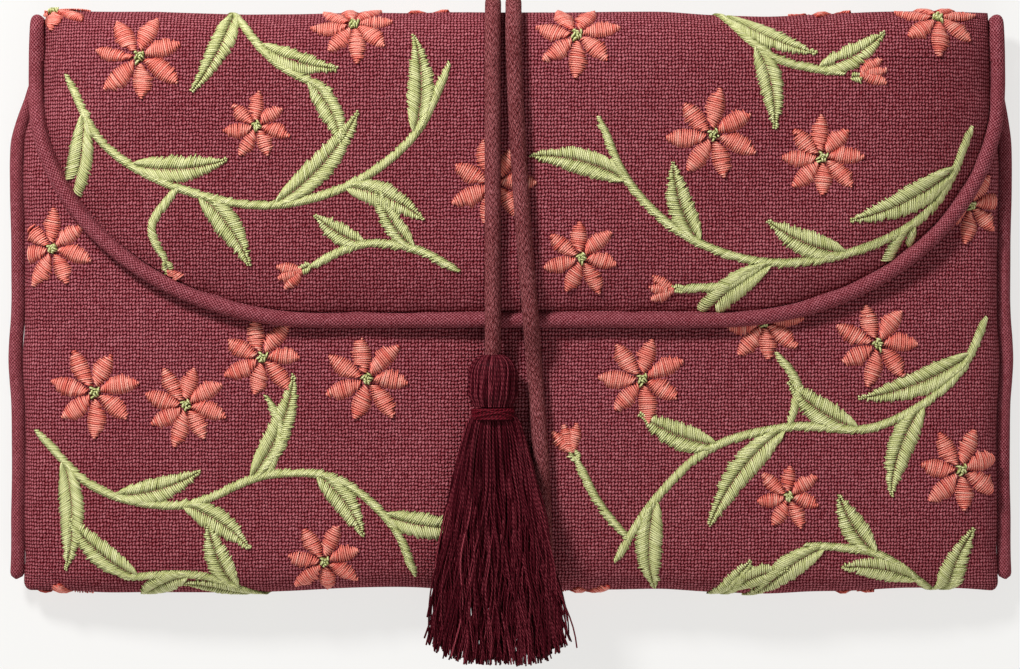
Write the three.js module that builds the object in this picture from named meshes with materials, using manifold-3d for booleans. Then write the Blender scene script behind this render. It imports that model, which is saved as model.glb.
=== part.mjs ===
// Fold-over jewellery pouch of padded linen with piped edges, tied with a cord and tassel.
// It lies on its back: +X to the right, +Y to the top fold, +Z up, millimetres.
import * as THREE from 'three';
import { mergeVertices } from 'three/addons/utils/BufferGeometryUtils.js';
import Module from 'manifold-3d';

const wasm = await Module();
wasm.setup();

// Layers of the quilted cloth and the gaps between them
const linen = 0.8;
const wadding = 1.2;
const lining = 0.4;
const layerGap = 0.3;
const pieceGap = 0.3; // between two stretches of one cloth, or two pieces that meet

// Body of the pouch
const seamHalf = 112; // side seam to centre
const bodyHalf = 66; // bottom fold or top fold to centre
const bodyThickness = 17.5;
const seamHalfThickness = 2.2;
const seamHeight = 5.3; // the side seams lie this high over the table
const sideFullness = 4; // how square the crown is across the pouch
const foldFullness = 10; // how square it is from fold to fold
const tableSink = 1.2; // how far the crowned back is pressed flat by the table
const mouthDrop = 16; // the front's top edge lies this far under the top fold's crest, under the flap
const waddingInset = 3.5; // seam allowance that holds no wadding
const liningInset = 5.4;

// Top fold and flap
const foldReach = 11; // how far the top fold bulges past its fold line
const flapHalf = 108.8;
const flapShift = 1.4; // the flap sits this far to the right of the body's centre
const flapDepth = 68.3; // top fold to the flap's bottom seam
const cornerWide = 64; // the flap's corners are quarter ellipses
const cornerTall = 52;
const shoulderTall = 21; // over this height under the fold line the side seams draw in to the flap's width
const shoulderRamp = 8; // the side pipings sink to the fold's over this length, each way from there
const flapClear = 0.5;
const flapBulge = 2.0; // room for the zip pocket between the flap and the front
const flapEdge = 1.6; // the flap's thickness at its seam
const flapRoll = 14; // width over which the flap swells from its seam
const flapLeastTall = 2; // the flap's shortest column, at its corners
const flapWaddingInset = 9;
const flapWaddingEase = 1.5; // the flap's wadding gives way by this many layer gaps at the seam
const flapLiningInset = 1.6;
const foldWaddingInset = 6.5;
const pocketCloth = 0.3;

// Piping
const pipingRadius = 1.7;
const pipingWall = 0.55;
const coreRadius = 0.8;
const pipingSides = 8;
const coreSides = 5;
const sidePipingStart = 2.5; // over the bottom fold
const sidePipingStop = 9; // under the fold line, where the fold's own piping takes over
const seamClear = 0.55; // between a piping and the seam that holds it, where the seam slopes
const foldPipingLow = 4.4;
const foldPipingReach = 8.2; // past the fold line
const foldPipingBend = 2; // it starts to bend this far before the fold line
const mouthPipingRadius = 1.2;
const mouthPipingWall = 0.4;
const mouthCoreRadius = 0.5;
const mouthPipingShort = 11; // it ends this far from the side seams

// Tie cord, wound round the pouch
const cordRadius = 2;
const cordSides = 8;
const cordSteps = 80;
const cordClear = 0.8;
const cordLow = 0.1; // under the pouch the cord clears the table by this
const leftStrand = -4.1; // x of the strand that carries the tassel
const rightStrand = 0.6; // x of the other strand where it comes over the top fold
const rightStrandEnd = 7.8; // x of that strand at the bottom fold
const cordStart = -4; // y where the cord's sewn end lies on the back
const channelHalf = 5.2; // the cord presses this half width into the back
const channelRamp = 6;

// Tassel
const tasselTop = -11.8;
const eyeClear = 0.6; // round the cord where it enters the head
const knotClear = 1.6; // from the middle of the head's dome to the knot's middle
const headTaper = 3; // the head draws in to its neck over this length
const headInnerTaper = 3.4;
const neckFlare = 0.6;
const neckClear = 0.5; // between the neck and the binding
const headHalf = 5.8;
const headDeep = 4.8;
const headLong = 12.2;
const headWall = 1.5;
const knotRadius = 3;
const bindingLong = 2.8;
const bindingHalf = 5.6;
const bindingWall = 1.0;
const bindingRound = 0.3;
const bindingRoundLong = 0.5;
const skirtNeckHalf = 6;
const skirtEndHalf = 15;
const skirtNeckDeep = 7;
const skirtEndDeep = 5;
const skirtTip = -82;
const skirtRise = 0.5; // it clears the highest part of the front, so that it can swing
const skirtRim = 0.12; // how thick its sides are, as a share of its middle
const skirtFlare = 0.8; // under 1 it widens early
const strandRamp = 7.5; // width over which the skirt rises on to the right-hand strand
const tasselSwing = THREE.MathUtils.degToRad(0.6); // the tassel hangs this far off the cord's line

// Zip pocket in the flap's lining
const zipLine = 38; // y of the zip
const zipHalf = 58;
const tapeWide = 4.4;
const tapeThick = 0.5;
const zipSlit = 0.9; // between the two rows of teeth, for the slider's web
const toothLong = 1.0;
const toothPitch = 3;
const toothWide = 1.6;
const toothThick = 0.9;
const sliderLong = 7;
const sliderWide = 6.4;
const sliderPlate = 0.55;
const sliderWeb = 0.4;
const sliderSpace = 1.3; // between the slider's plates
const zipPlay = 0.3; // round the tapes in the lining's window
const pullLong = 16;
const pullWide = 4;
const pullThick = 0.45;
const stopLong = 1.6;
const pocketMargin = 6; // the pocket's cloth passes the zip's ends by this
const pocketSeam = 2;
const pocketBottom = 8;

// Slip pockets on the back lining
const slipColumns = [3, 7]; // each pocket spans these columns of the lining, counted from the side
const slipClear = 0.6; // the loose pocket stands off the lining by this
const slipTop = 12;
const slipRaise = 16; // its bottom seam lies this far over the bottom fold
const elasticWide = 5;
const elasticThick = 0.5;

const layersThick = linen + layerGap + wadding + layerGap + lining;
const flapThick = layersThick + pocketCloth + layerGap;
const foldLine = bodyHalf - foldReach; // the top fold starts and ends at this y
const mouthRim = bodyHalf - mouthDrop;
const shoulderStart = foldLine - shoulderTall;
const sidePipingTop = foldLine - sidePipingStop;
const flapBottom = bodyHalf - flapDepth;
const cornerMid = flapBottom + cornerTall;
const straightHalf = flapHalf - cornerWide;
const cordOffset = cordRadius + cordClear;
const cordMid = cordRadius + cordLow; // height of the cord's middle under the pouch
const backStrand = (leftStrand + rightStrand) / 2;

const clamp01 = (t) => Math.min(1, Math.max(0, t));
const smooth = (t) => clamp01(t) ** 2 * (3 - 2 * clamp01(t));
const mix = (a, b, t) => a + (b - a) * t;

// How much the side seams have drawn in at this height: 0 on the body, 1 at the fold line
const shoulder = (y) => smooth((y - shoulderStart) / (foldLine - shoulderStart));
const halfWidth = (y) => mix(seamHalf, flapHalf, shoulder(y));
const middleX = (y) => flapShift * shoulder(y);
const across = (x, y) => clamp01(Math.abs((x - middleX(y)) / halfWidth(y)));

// The crown from 0 at the side seams to 1 in the middle, and the body's half thickness and mid height with it
const crown = (x, y) => Math.sqrt(1 - across(x, y) ** sideFullness);
const halfThick = (x, y) => mix(seamHalfThickness, bodyThickness / 2, crown(x, y));
const midHeight = (x, y) => mix(seamHeight, bodyThickness / 2 - tableSink, crown(x, y));
const roundness = (y, inset) =>
  Math.sqrt(Math.max(0, 1 - Math.min(1, Math.abs(y) / (bodyHalf - inset)) ** foldFullness));

// The channel that the cord presses into the back: its middle and its depth
const channelX = (y) => mix(rightStrandEnd, backStrand, smooth((y + bodyHalf) / bodyHalf));
const channelShape = (x, y) =>
  1 - clamp01((Math.abs(x - channelX(y)) - channelHalf) / channelRamp);
const channelDeep = cordMid + cordOffset + tableSink;
const channel = (x, y) => channelDeep * channelShape(x, y);

// Heights of the body's front and back, set in by an inset from the outer face
const frontHeight = (x, y, inset = 0) =>
  midHeight(x, y) + (halfThick(x, y) - inset) * roundness(y, inset);
const backHeight = (x, y, inset = 0) =>
  Math.max(inset, midHeight(x, y) - (halfThick(x, y) - inset - channel(x, y)) * roundness(y, inset));

// The flap's outline, drawn in by an inset: its lowest y at x, and how far a point lies inside its seam
const outlineY = (x, inset) => {
  const reach = clamp01((Math.abs(x - flapShift) - straightHalf) / (cornerWide - inset));
  return cornerMid - (cornerTall - inset) * Math.sqrt(1 - reach ** 2);
};
const insideSeam = (x, y) => {
  const sideways = Math.max(0, Math.abs(x - flapShift) - straightHalf) / cornerWide;
  const down = Math.max(0, cornerMid - y) / cornerTall;
  return (1 - Math.hypot(sideways, down)) * cornerTall;
};
const swell = (x, y) => 1 - (1 - clamp01(insideSeam(x, y) / flapRoll)) ** 2;
const flapUnder = (x, y) => frontHeight(x, y) + flapClear + flapBulge * swell(x, y);
const flapDeep = (x, y) => mix(flapEdge, flapThick, swell(x, y));
const flapOver = (x, y) => flapUnder(x, y) + flapDeep(x, y);

// A closed solid from points and triangles, turned so that its faces point out
function closedSolid(points, triangles) {
  const [a, b, c] = [new THREE.Vector3(), new THREE.Vector3(), new THREE.Vector3()];
  let volume = 0;
  for (const [i, j, k] of triangles) {
    a.fromArray(points[i]);
    b.fromArray(points[j]);
    c.fromArray(points[k]);
    volume += a.dot(b.cross(c));
  }
  const order = volume < 0 ? ([i, j, k]) => [i, k, j] : (t) => t;
  const geometry = new THREE.BufferGeometry();
  geometry.setAttribute('position', new THREE.Float32BufferAttribute(points.flat(), 3));
  geometry.setIndex(triangles.flatMap(order));
  return geometry;
}

// Quads over a grid of points numbered by at(i, j)
function gridFaces(at, columns, rows, flip) {
  const faces = [];
  for (let i = 0; i < columns - 1; i++)
    for (let j = 0; j < rows - 1; j++) {
      const [p, q, r, s] = [at(i, j), at(i + 1, j), at(i + 1, j + 1), at(i, j + 1)];
      faces.push(...(flip ? [[p, r, q], [p, s, r]] : [[p, q, r], [p, r, s]]));
    }
  return faces;
}

// A band of quads between two closed loops of the same length
function bandFaces(first, second) {
  return first.flatMap((p, i) => {
    const next = (i + 1) % first.length;
    return [[p, first[next], second[next]], [p, second[next], second[i]]];
  });
}

// A sheet with a top and a bottom grid of points
function sheet(top, bottom) {
  const [columns, rows] = [top.length, top[0].length];
  const points = [...top.flat(), ...bottom.flat()];
  const over = (i, j) => i * rows + j;
  const under = (i, j) => columns * rows + over(i, j);
  const border = (at) => [
    ...range(columns - 1, (i) => at(i, 0)),
    ...range(rows - 1, (j) => at(columns - 1, j)),
    ...range(columns - 1, (i) => at(columns - 1 - i, rows - 1)),
    ...range(rows - 1, (j) => at(0, rows - 1 - j)),
  ];
  return closedSolid(points, [
    ...gridFaces(over, columns, rows, false),
    ...gridFaces(under, columns, rows, true),
    ...bandFaces(border(under), border(over)),
  ]);
}

// A bag open along its first and last row, from an outer and an inner grid of points
function bag(outer, inner) {
  const [columns, rows] = [outer.length, outer[0].length];
  const points = [...outer.flat(), ...inner.flat()];
  const skin = (base, flip) => {
    const at = (i, j) => base + i * rows + j;
    const faces = gridFaces(at, columns, rows, flip);
    for (const [i, turned] of [[0, !flip], [columns - 1, flip]])
      for (let j = 0; j < (rows - 1) / 2; j++) {
        const [p, q, r, s] = [at(i, j), at(i, rows - 1 - j), at(i, rows - 2 - j), at(i, j + 1)];
        const quad = q - p > 2 && r !== s ? [[p, q, r], [p, r, s]] : [[p, q, s]];
        faces.push(...(turned ? quad.map(([u, v, w]) => [u, w, v]) : quad));
      }
    return faces;
  };
  const mouth = (base) => [
    ...range(columns, (i) => base + i * rows),
    ...range(columns, (i) => base + (columns - 1 - i) * rows + rows - 1),
  ];
  const half = columns * rows;
  return closedSolid(points, [...skin(0, false), ...skin(half, true), ...bandFaces(mouth(half), mouth(0))]);
}

function range(count, make) {
  return Array.from({ length: count }, (_, i) => make(i));
}

// Columns of the body and the fold: fixed shares of the width outside, lines that follow the channel inside
const sideColumns = [1, 0.975, 0.93, 0.86, 0.74, 0.56, 0.34];
function columnX(y, inset) {
  const half = halfWidth(y) - inset;
  const sides = sideColumns.map((share) => share * half);
  const [outer, ramp] = [channelHalf + channelRamp, channelHalf + channelRamp / 2];
  const near = [-outer, -ramp, -channelHalf, 0, channelHalf, ramp, outer];
  return [
    ...sides.map((x) => middleX(y) - x),
    ...near.map((x) => channelX(y) + x),
    ...sides.reverse().map((x) => middleX(y) + x),
  ];
}

// One face of the body from the front's rim, round the bottom fold and up the back to the fold line
const sideRows = 9;
function bodyFace(inset, sideInset, rimInset = 0) {
  const bottom = -(bodyHalf - inset);
  const back = foldLine - pieceGap;
  const rows = range(2 * sideRows + 1, (j) => {
    const down = Math.sin((1 - Math.abs(j - sideRows) / sideRows) * Math.PI / 2);
    const onFront = j < sideRows;
    const y = mix(onFront ? mouthRim - rimInset : back, bottom, down);
    const height = onFront ? frontHeight : backHeight;
    const edge = j === sideRows ? midHeight : height;
    return columnX(y, sideInset).map((x) => [x, y, edge(x, y, inset)]);
  });
  return rows[0].map((_, i) => rows.map((row) => row[i]));
}

// Depth of each face under the outer one
const waddingTop = linen + layerGap;
const waddingBottom = waddingTop + wadding;
const liningTop = waddingBottom + layerGap;
const bodyShell = bag(bodyFace(0, 0), bodyFace(linen, linen));
const bodyWadding = bag(bodyFace(waddingTop, waddingInset), bodyFace(waddingBottom, waddingInset + wadding));
const bodyLining = bag(bodyFace(liningTop, liningInset), bodyFace(layersThick, liningInset + lining));

// A loose sheet on the back's lining on one side of the channel, between two heights along the pouch
function slipSheet(side, from, to, count, thick) {
  const face = (depth) => {
    const rows = range(count + 1, (j) => {
      const y = mix(from, to, j / count);
      const columns = columnX(y, liningInset + lining);
      const [first, last] = slipColumns;
      const chosen = side < 0 ? columns.slice(first, last) : columns.slice(-last, -first);
      return chosen.map((x) => [x, y, backHeight(x, y, depth)]);
    });
    return rows[0].map((_, i) => rows.map((row) => row[i]));
  };
  const low = layersThick + slipClear;
  return sheet(face(low + thick), face(low));
}
const slipRows = 6;
const slipPocket = (side) => slipSheet(side, slipTop, slipRaise - bodyHalf, slipRows, lining);
const slipElastic = (side) =>
  slipSheet(side, slipTop + pieceGap + elasticWide, slipTop + pieceGap, 1, elasticThick);

// The top fold: an arc from the back at the fold line to the flap's start, for one depth
const arcSteps = 7;
function foldFace(depthLow, depthHigh, sideInset) {
  const xs = columnX(foldLine, sideInset);
  return xs.map((x) => range(arcSteps + 1, (k) => {
    const turn = (k / arcSteps) * Math.PI;
    const depth = mix(depthLow, depthHigh, k / arcSteps);
    const [low, high] = [backHeight(x, foldLine), flapOver(x, foldLine)];
    const lift = channelDeep * channelShape(x, foldLine) * roundness(foldLine, 0);
    const flat = Math.max(0, low - Math.max(0, lift - tableSink));
    const middle = (flat + high) / 2;
    const tall = turn < Math.PI / 2 ? middle - low : high - middle;
    return [x, foldLine + (foldReach - depth) * Math.sin(turn), middle - (tall - depth) * Math.cos(turn)];
  }));
}
const pocketDepth = flapThick - layersThick;
const foldShell = sheet(foldFace(0, 0, 0), foldFace(linen, linen, 0));
const foldWadding = sheet(
  foldFace(waddingTop, waddingTop, foldWaddingInset),
  foldFace(waddingBottom, waddingBottom, foldWaddingInset),
);
const foldLining = sheet(
  foldFace(liningTop, liningTop + pocketDepth, liningInset),
  foldFace(layersThick, flapThick, liningInset),
);

// The flap's columns are spaced round its corner ellipses
const cornerSteps = 7;
const flapRows = 7;
const cornerColumns = range(cornerSteps + 1, (i) => Math.cos((i / cornerSteps) * Math.PI / 2));
const middleColumns = [-1, -0.5, 0, 0.5, 1];
function flapFace(inset, height) {
  const wide = cornerWide - inset;
  const xs = [
    ...cornerColumns.map((share) => -straightHalf - wide * share),
    ...middleColumns.slice(1, -1).map((share) => straightHalf * share),
    ...cornerColumns.map((share) => straightHalf + wide * share).reverse(),
  ].map((x) => x + flapShift);
  const start = foldLine - pieceGap;
  return xs.map((x) => range(flapRows + 1, (j) => {
    const down = Math.sin((j / flapRows) * Math.PI / 2);
    const y = mix(start, Math.min(outlineY(x, inset), start - flapLeastTall), down);
    return [x, y, height(x, y)];
  }));
}
const flapShell = sheet(flapFace(0, flapOver), flapFace(0, (x, y) => flapOver(x, y) - linen));
const flapWaddingTop = (x, y) => flapOver(x, y) - waddingTop - layerGap * (flapWaddingEase - swell(x, y));
const flapWaddingWhole = sheet(
  flapFace(flapWaddingInset, flapWaddingTop),
  flapFace(flapWaddingInset, (x, y) => flapUnder(x, y) + lining + 2 * layerGap + pocketCloth),
);
const flapLiningWhole = sheet(
  flapFace(flapLiningInset, (x, y) => flapUnder(x, y) + lining),
  flapFace(flapLiningInset, flapUnder),
);

// Manifold solids, only to join and to cut
function toManifold(geometry) {
  const bare = geometry.clone();
  for (const name of ['normal', 'uv']) bare.deleteAttribute(name);
  const merged = mergeVertices(bare, 1e-4);
  return new wasm.Manifold(new wasm.Mesh({
    numProp: 3,
    vertProperties: merged.attributes.position.array,
    triVerts: new Uint32Array(merged.index.array),
  }));
}
function fromManifold(solid) {
  const mesh = solid.getMesh();
  const geometry = new THREE.BufferGeometry();
  geometry.setAttribute('position', new THREE.BufferAttribute(new Float32Array(mesh.vertProperties), 3));
  geometry.setIndex(new THREE.BufferAttribute(new Uint32Array(mesh.triVerts), 1));
  return geometry;
}
const box = (x, y, z, wide, deep, tall) =>
  new THREE.BoxGeometry(wide, deep, tall).translate(x, y, z);

// Zip: a straight line in the flap's lining, with its tapes in a window
const zipX = flapShift;
const zipHeight = flapUnder(zipX, zipLine) + lining / 2;
const tapeY = (side) => zipLine + side * (zipSlit / 2 + toothLong + zipPlay + tapeWide / 2);
const windowWide = 2 * (zipSlit / 2 + toothLong + zipPlay + tapeWide + zipPlay);
const windowLong = 2 * (zipHalf + zipPlay);
const tallCut = 12;
const zipWindow = box(zipX, zipLine, zipHeight, windowLong, windowWide, tallCut);
const flapLining = fromManifold(toManifold(flapLiningWhole).subtract(toManifold(zipWindow)));
const flapWadding = fromManifold(toManifold(flapWaddingWhole).subtract(toManifold(
  box(zipX, zipLine, zipHeight, windowLong + 2 * zipPlay, windowWide + 2 * zipPlay, tallCut),
)));
const tape = (side) => box(zipX, tapeY(side), zipHeight, 2 * zipHalf, tapeWide, tapeThick);

// A row of teeth on a thin rail beside its tape
function teeth(side) {
  const rail = toothLong / 3;
  const count = Math.floor((2 * (zipHalf - 2 * stopLong)) / toothPitch);
  const long = count * toothPitch;
  const outline = new THREE.Shape();
  outline.moveTo(-long / 2, 0);
  for (let k = 0; k < count; k++) {
    const x = -long / 2 + (k + 0.5) * toothPitch;
    outline.lineTo(x - toothWide / 2, rail);
    outline.lineTo(x - toothWide / 2, toothLong);
    outline.lineTo(x + toothWide / 2, toothLong);
    outline.lineTo(x + toothWide / 2, rail);
  }
  outline.lineTo(long / 2, 0);
  const start = zipSlit / 2 + toothLong;
  const row = new THREE.ExtrudeGeometry(outline, { depth: toothThick, bevelEnabled: false });
  row.translate(0, 0, -toothThick / 2);
  row.rotateZ(side > 0 ? Math.PI : 0);
  return row.translate(zipX, zipLine + side * start, zipHeight);
}

// The slider: two plates joined by a web that runs in the slit
const sliderX = zipX - zipHalf + 2 * stopLong + sliderLong;
function slider() {
  const [wide, tall, web] = [sliderWide / 2, sliderSpace / 2 + sliderPlate, sliderWeb / 2];
  const outline = new THREE.Shape([
    [-wide, -tall], [wide, -tall], [wide, -sliderSpace / 2], [web, -sliderSpace / 2],
    [web, sliderSpace / 2], [wide, sliderSpace / 2], [wide, tall], [-wide, tall],
    [-wide, sliderSpace / 2], [-web, sliderSpace / 2], [-web, -sliderSpace / 2], [-wide, -sliderSpace / 2],
  ].map(([a, b]) => new THREE.Vector2(a, b)));
  const solid = new THREE.ExtrudeGeometry(outline, { depth: sliderLong, bevelEnabled: false });
  solid.rotateX(Math.PI / 2).rotateZ(Math.PI / 2);
  return solid.translate(sliderX - sliderLong / 2, zipLine, zipHeight);
}
function pull() {
  const outline = new THREE.Shape();
  const round = pullWide / 2;
  outline.absarc(0, 0, round, Math.PI / 2, 1.5 * Math.PI);
  outline.absarc(pullLong - pullWide, 0, round, -Math.PI / 2, Math.PI / 2);
  const eye = new THREE.Path().absarc(0, 0, round / 2, 0, 2 * Math.PI, true);
  outline.holes.push(eye);
  const solid = new THREE.ExtrudeGeometry(outline, { depth: pullThick, bevelEnabled: false, curveSegments: 4 });
  const under = zipHeight - sliderSpace / 2 - sliderPlate - zipPlay - pullThick;
  return solid.translate(sliderX, zipLine, under);
}
const stop = (side) =>
  box(zipX + side * (zipHalf - stopLong), zipLine, zipHeight, stopLong, 2 * toothLong + zipSlit, toothThick);

// The pocket's inner cloth, between the flap's lining and its wadding, behind the zip
const pocketHalf = zipHalf + pocketMargin;
const pocketTop = zipLine - windowWide / 2 - pocketSeam;
const [pocketColumns, pocketRows] = [8, 5];
const pocketFace = (lift) => range(pocketColumns + 1, (i) => range(pocketRows + 1, (j) => {
  const x = zipX + mix(-pocketHalf, pocketHalf, i / pocketColumns);
  const y = mix(pocketTop, pocketBottom, j / pocketRows);
  return [x, y, flapUnder(x, y) + lift];
}));
const pocketBag = sheet(
  pocketFace(lining + layerGap + pocketCloth), pocketFace(lining + layerGap),
);

// Round tubes along a smooth path: a full one and a hollow one
const spline = (points) =>
  new THREE.CatmullRomCurve3(points.map((p) => new THREE.Vector3(...p)), false, 'centripetal');
const ring = (radius, sides) => range(sides, (k) => {
  const turn = (k / sides) * 2 * Math.PI;
  return new THREE.Vector2(radius * Math.cos(turn), radius * Math.sin(turn));
});
function rod(path, radius, sides, steps) {
  const outline = new THREE.Shape(ring(radius, sides));
  return new THREE.ExtrudeGeometry(outline, { steps, bevelEnabled: false, extrudePath: path });
}
function sleeve(path, radius, wall, sides, steps) {
  const outline = new THREE.Shape(ring(radius, sides));
  outline.holes.push(new THREE.Path(ring(radius - wall, sides)));
  return new THREE.ExtrudeGeometry(outline, { steps, bevelEnabled: false, extrudePath: path });
}

// Piping routes
const pipingOff = pipingRadius + pieceGap;
const pipingRise = flapClear + pipingRadius; // the flap's piping rests on the front
const flapPipingStart = foldLine - pieceGap;
const flapPipingPoint = (side, turn) => {
  const x = flapShift + side * (straightHalf + (cornerWide + pipingOff) * Math.sin(turn));
  const y = cornerMid - (cornerTall + pipingOff) * Math.cos(turn);
  return [x, y, frontHeight(x, y) + pipingRise];
};
const pipingEnd = (side, y) => {
  const x = flapShift + side * (flapHalf + pipingOff);
  return [x, y, frontHeight(x, y) + pipingRise];
};
const pipingTurns = 11;
const cornerTurns = range(pipingTurns + 1, (i) => (i / pipingTurns) * Math.PI / 2);
const flapPipingPath = spline([
  pipingEnd(-1, flapPipingStart),
  ...cornerTurns.map((turn) => flapPipingPoint(-1, turn)).reverse(),
  ...[-0.5, 0, 0.5].map((share) => {
    const [x, y] = [flapShift + straightHalf * share, flapBottom - pipingOff];
    return [x, y, frontHeight(x, y) + pipingRise];
  }),
  ...cornerTurns.map((turn) => flapPipingPoint(1, turn)),
  pipingEnd(1, flapPipingStart),
]);
const sidePipingX = (side, y) => middleX(y) + side * (halfWidth(y) + pipingRadius + seamClear);
const sidePipingSteps = 8;
const sidePipingPath = (side) => spline(range(sidePipingSteps + 1, (i) => {
  const y = mix(sidePipingStart - bodyHalf, sidePipingTop, i / sidePipingSteps);
  const sunk = smooth((y - shoulderStart + shoulderRamp) / (2 * shoulderRamp));
  return [sidePipingX(side, y), y, mix(seamHeight, foldPipingLow, sunk)];
}));
// Round the end of the top fold: out along the side seam, a half turn, and back to the flap's piping
const foldPipingPath = (side) => {
  const x = flapShift + side * (flapHalf + pipingOff);
  const high = pipingEnd(side, flapPipingStart)[2];
  const bend = (high - foldPipingLow) / 2;
  const turnY = foldLine + foldPipingReach - bend;
  const start = sidePipingTop + pieceGap;
  const before = foldLine - foldPipingBend;
  const turns = 6;
  return spline([
    [sidePipingX(side, start), start, foldPipingLow],
    [sidePipingX(side, before), before, foldPipingLow],
    ...range(turns + 1, (k) => {
      const turn = (k / turns) * Math.PI;
      return [x, turnY + bend * Math.sin(turn), foldPipingLow + bend * (1 - Math.cos(turn))];
    }),
    [x, foldLine, high],
  ]);
};
const mouthPipingY = mouthRim + pieceGap + mouthPipingRadius;
const mouthHalf = seamHalf - mouthPipingShort;
const mouthPipingSteps = 10;
const mouthPipingPath = spline(range(mouthPipingSteps + 1, (i) => {
  const x = middleX(mouthPipingY) + mix(-mouthHalf, mouthHalf, i / mouthPipingSteps);
  return [x, mouthPipingY, frontHeight(x, mouthPipingY) - layersThick / 2];
}));

// The cord's route: heights over what it lies on
const pipingTop = (x) => frontHeight(x, flapBottom - pipingOff) + pipingRise + pipingRadius;
const overFlap = (x, y) => flapOver(x, y) + cordOffset;
const overFront = (x, y) => frontHeight(x, y) + cordOffset;
const rightX = (y) => mix(rightStrandEnd, rightStrand, smooth((y + bodyHalf) / (2 * bodyHalf)));
const topFoldShare = 0.12; // of the half turn, left out at each end
const topFoldSteps = 6;
const topFoldTurn = (x) => range(topFoldSteps + 1, (k) => {
  const turn = mix(topFoldShare, 1 - topFoldShare, k / topFoldSteps) * Math.PI;
  const high = flapOver(x, foldLine) + cordOffset;
  const middle = flapOver(x, foldLine) / 2;
  const tall = turn < Math.PI / 2 ? middle - cordMid : high - middle;
  return [x, foldLine + (foldReach + cordOffset) * Math.sin(turn), middle - tall * Math.cos(turn)];
});
const bottomSteps = 8;
const bottomTurn = range(bottomSteps + 1, (k) => {
  const turn = (k / bottomSteps) * Math.PI;
  const x = rightStrandEnd;
  const y = -(bodyHalf + cordOffset) * Math.sin(turn) ** (2 / foldFullness);
  const middle = midHeight(x, 0);
  const tall = turn < Math.PI / 2 ? halfThick(x, 0) + cordOffset : middle - cordMid;
  return [x, y, middle + tall * Math.cos(turn)];
}).slice(1, -1);
const strandDown = (xAt, ys) => ys.map((y) => {
  const x = xAt(y);
  return [x, y, y > flapBottom ? overFlap(x, y) : overFront(x, y)];
});
const overPiping = (x, y) => [x, y, pipingTop(x) + cordOffset];
const headHeight = frontHeight(leftStrand, tasselTop) + pieceGap + headDeep;
const knotY = tasselTop - headHalf - knotClear;
const cordPoints = [
  ...[cordStart, 14, 32, 48].map((y) => [rightStrand, y, cordMid]),
  ...topFoldTurn(rightStrand),
  ...strandDown(rightX, [46, 30, 14, 3]),
  overPiping(rightX(flapBottom - pipingOff), flapBottom - pipingOff),
  ...strandDown(rightX, [-13, -26, -42, -54]),
  ...bottomTurn,
  ...[-52, -36, -20, -6, 10, 28, 48].map((y) => [
    mix(rightStrandEnd, leftStrand, smooth((y + bodyHalf) / (bodyHalf - 4))), y, cordMid]),
  ...topFoldTurn(leftStrand),
  ...strandDown(() => leftStrand, [46, 30, 14, 3]),
  overPiping(leftStrand, flapBottom - pipingOff),
  [leftStrand, tasselTop + 1.5, headHeight + 0.2],
  [leftStrand, tasselTop - 0.5, headHeight],
  [leftStrand, knotY + knotRadius + pieceGap, headHeight],
];
const cordPath = spline(cordPoints);

// The least gap of the cord to itself, between points that lie more than a few turns of wire apart
function leastGap(path, diameter, count) {
  const points = path.getSpacedPoints(count);
  const skip = Math.ceil((4 * diameter * count) / path.getLength());
  let least = Infinity;
  for (let i = 0; i < points.length; i++)
    for (let j = i + skip; j < points.length; j++) least = Math.min(least, points[i].distanceTo(points[j]));
  return least - diameter;
}
console.log(`cord length ${cordPath.getLength().toFixed(1)} mm`);
console.log(`least gap of the cord to itself ${leastGap(cordPath, 2 * cordRadius, 400).toFixed(2)} mm`);

// Tassel: turned profiles about its axis, flattened and laid along -Y
function turned(profile, flat) {
  const solid = new THREE.LatheGeometry(profile.map(([r, h]) => new THREE.Vector2(r, h)), 14);
  return solid.scale(1, 1, flat);
}
const headFlat = headDeep / headHalf;
const headProfile = () => {
  const arc = (radius, from, to, count) => range(count, (k) => {
    const turn = mix(from, to, k / (count - 1));
    return [radius * Math.sin(turn), -headHalf + radius * Math.cos(turn)];
  });
  const eye = cordRadius + eyeClear;
  const inner = headHalf - headWall;
  const neck = bindingHalf - bindingWall - neckClear;
  return [
    ...arc(headHalf, Math.asin(eye / headHalf), Math.PI / 2, 6),
    [headHalf, -headLong + headTaper],
    [neck + neckFlare, -headLong],
    [neck - headWall, -headLong],
    [inner, -headLong + headInnerTaper],
    ...arc(inner, Math.PI / 2, Math.asin(eye / inner), 5),
    [eye, -headHalf + headHalf * Math.cos(Math.asin(eye / headHalf))],
  ].reverse();
};
const bindingProfile = () => {
  const top = -headLong - pieceGap;
  const inner = bindingHalf - bindingWall;
  return [
    [inner, top], [bindingHalf - bindingRound, top], [bindingHalf, top - bindingRoundLong],
    [bindingHalf, top - bindingLong + bindingRoundLong], [bindingHalf - bindingRound, top - bindingLong],
    [inner, top - bindingLong], [inner, top],
  ].reverse();
};

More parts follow.
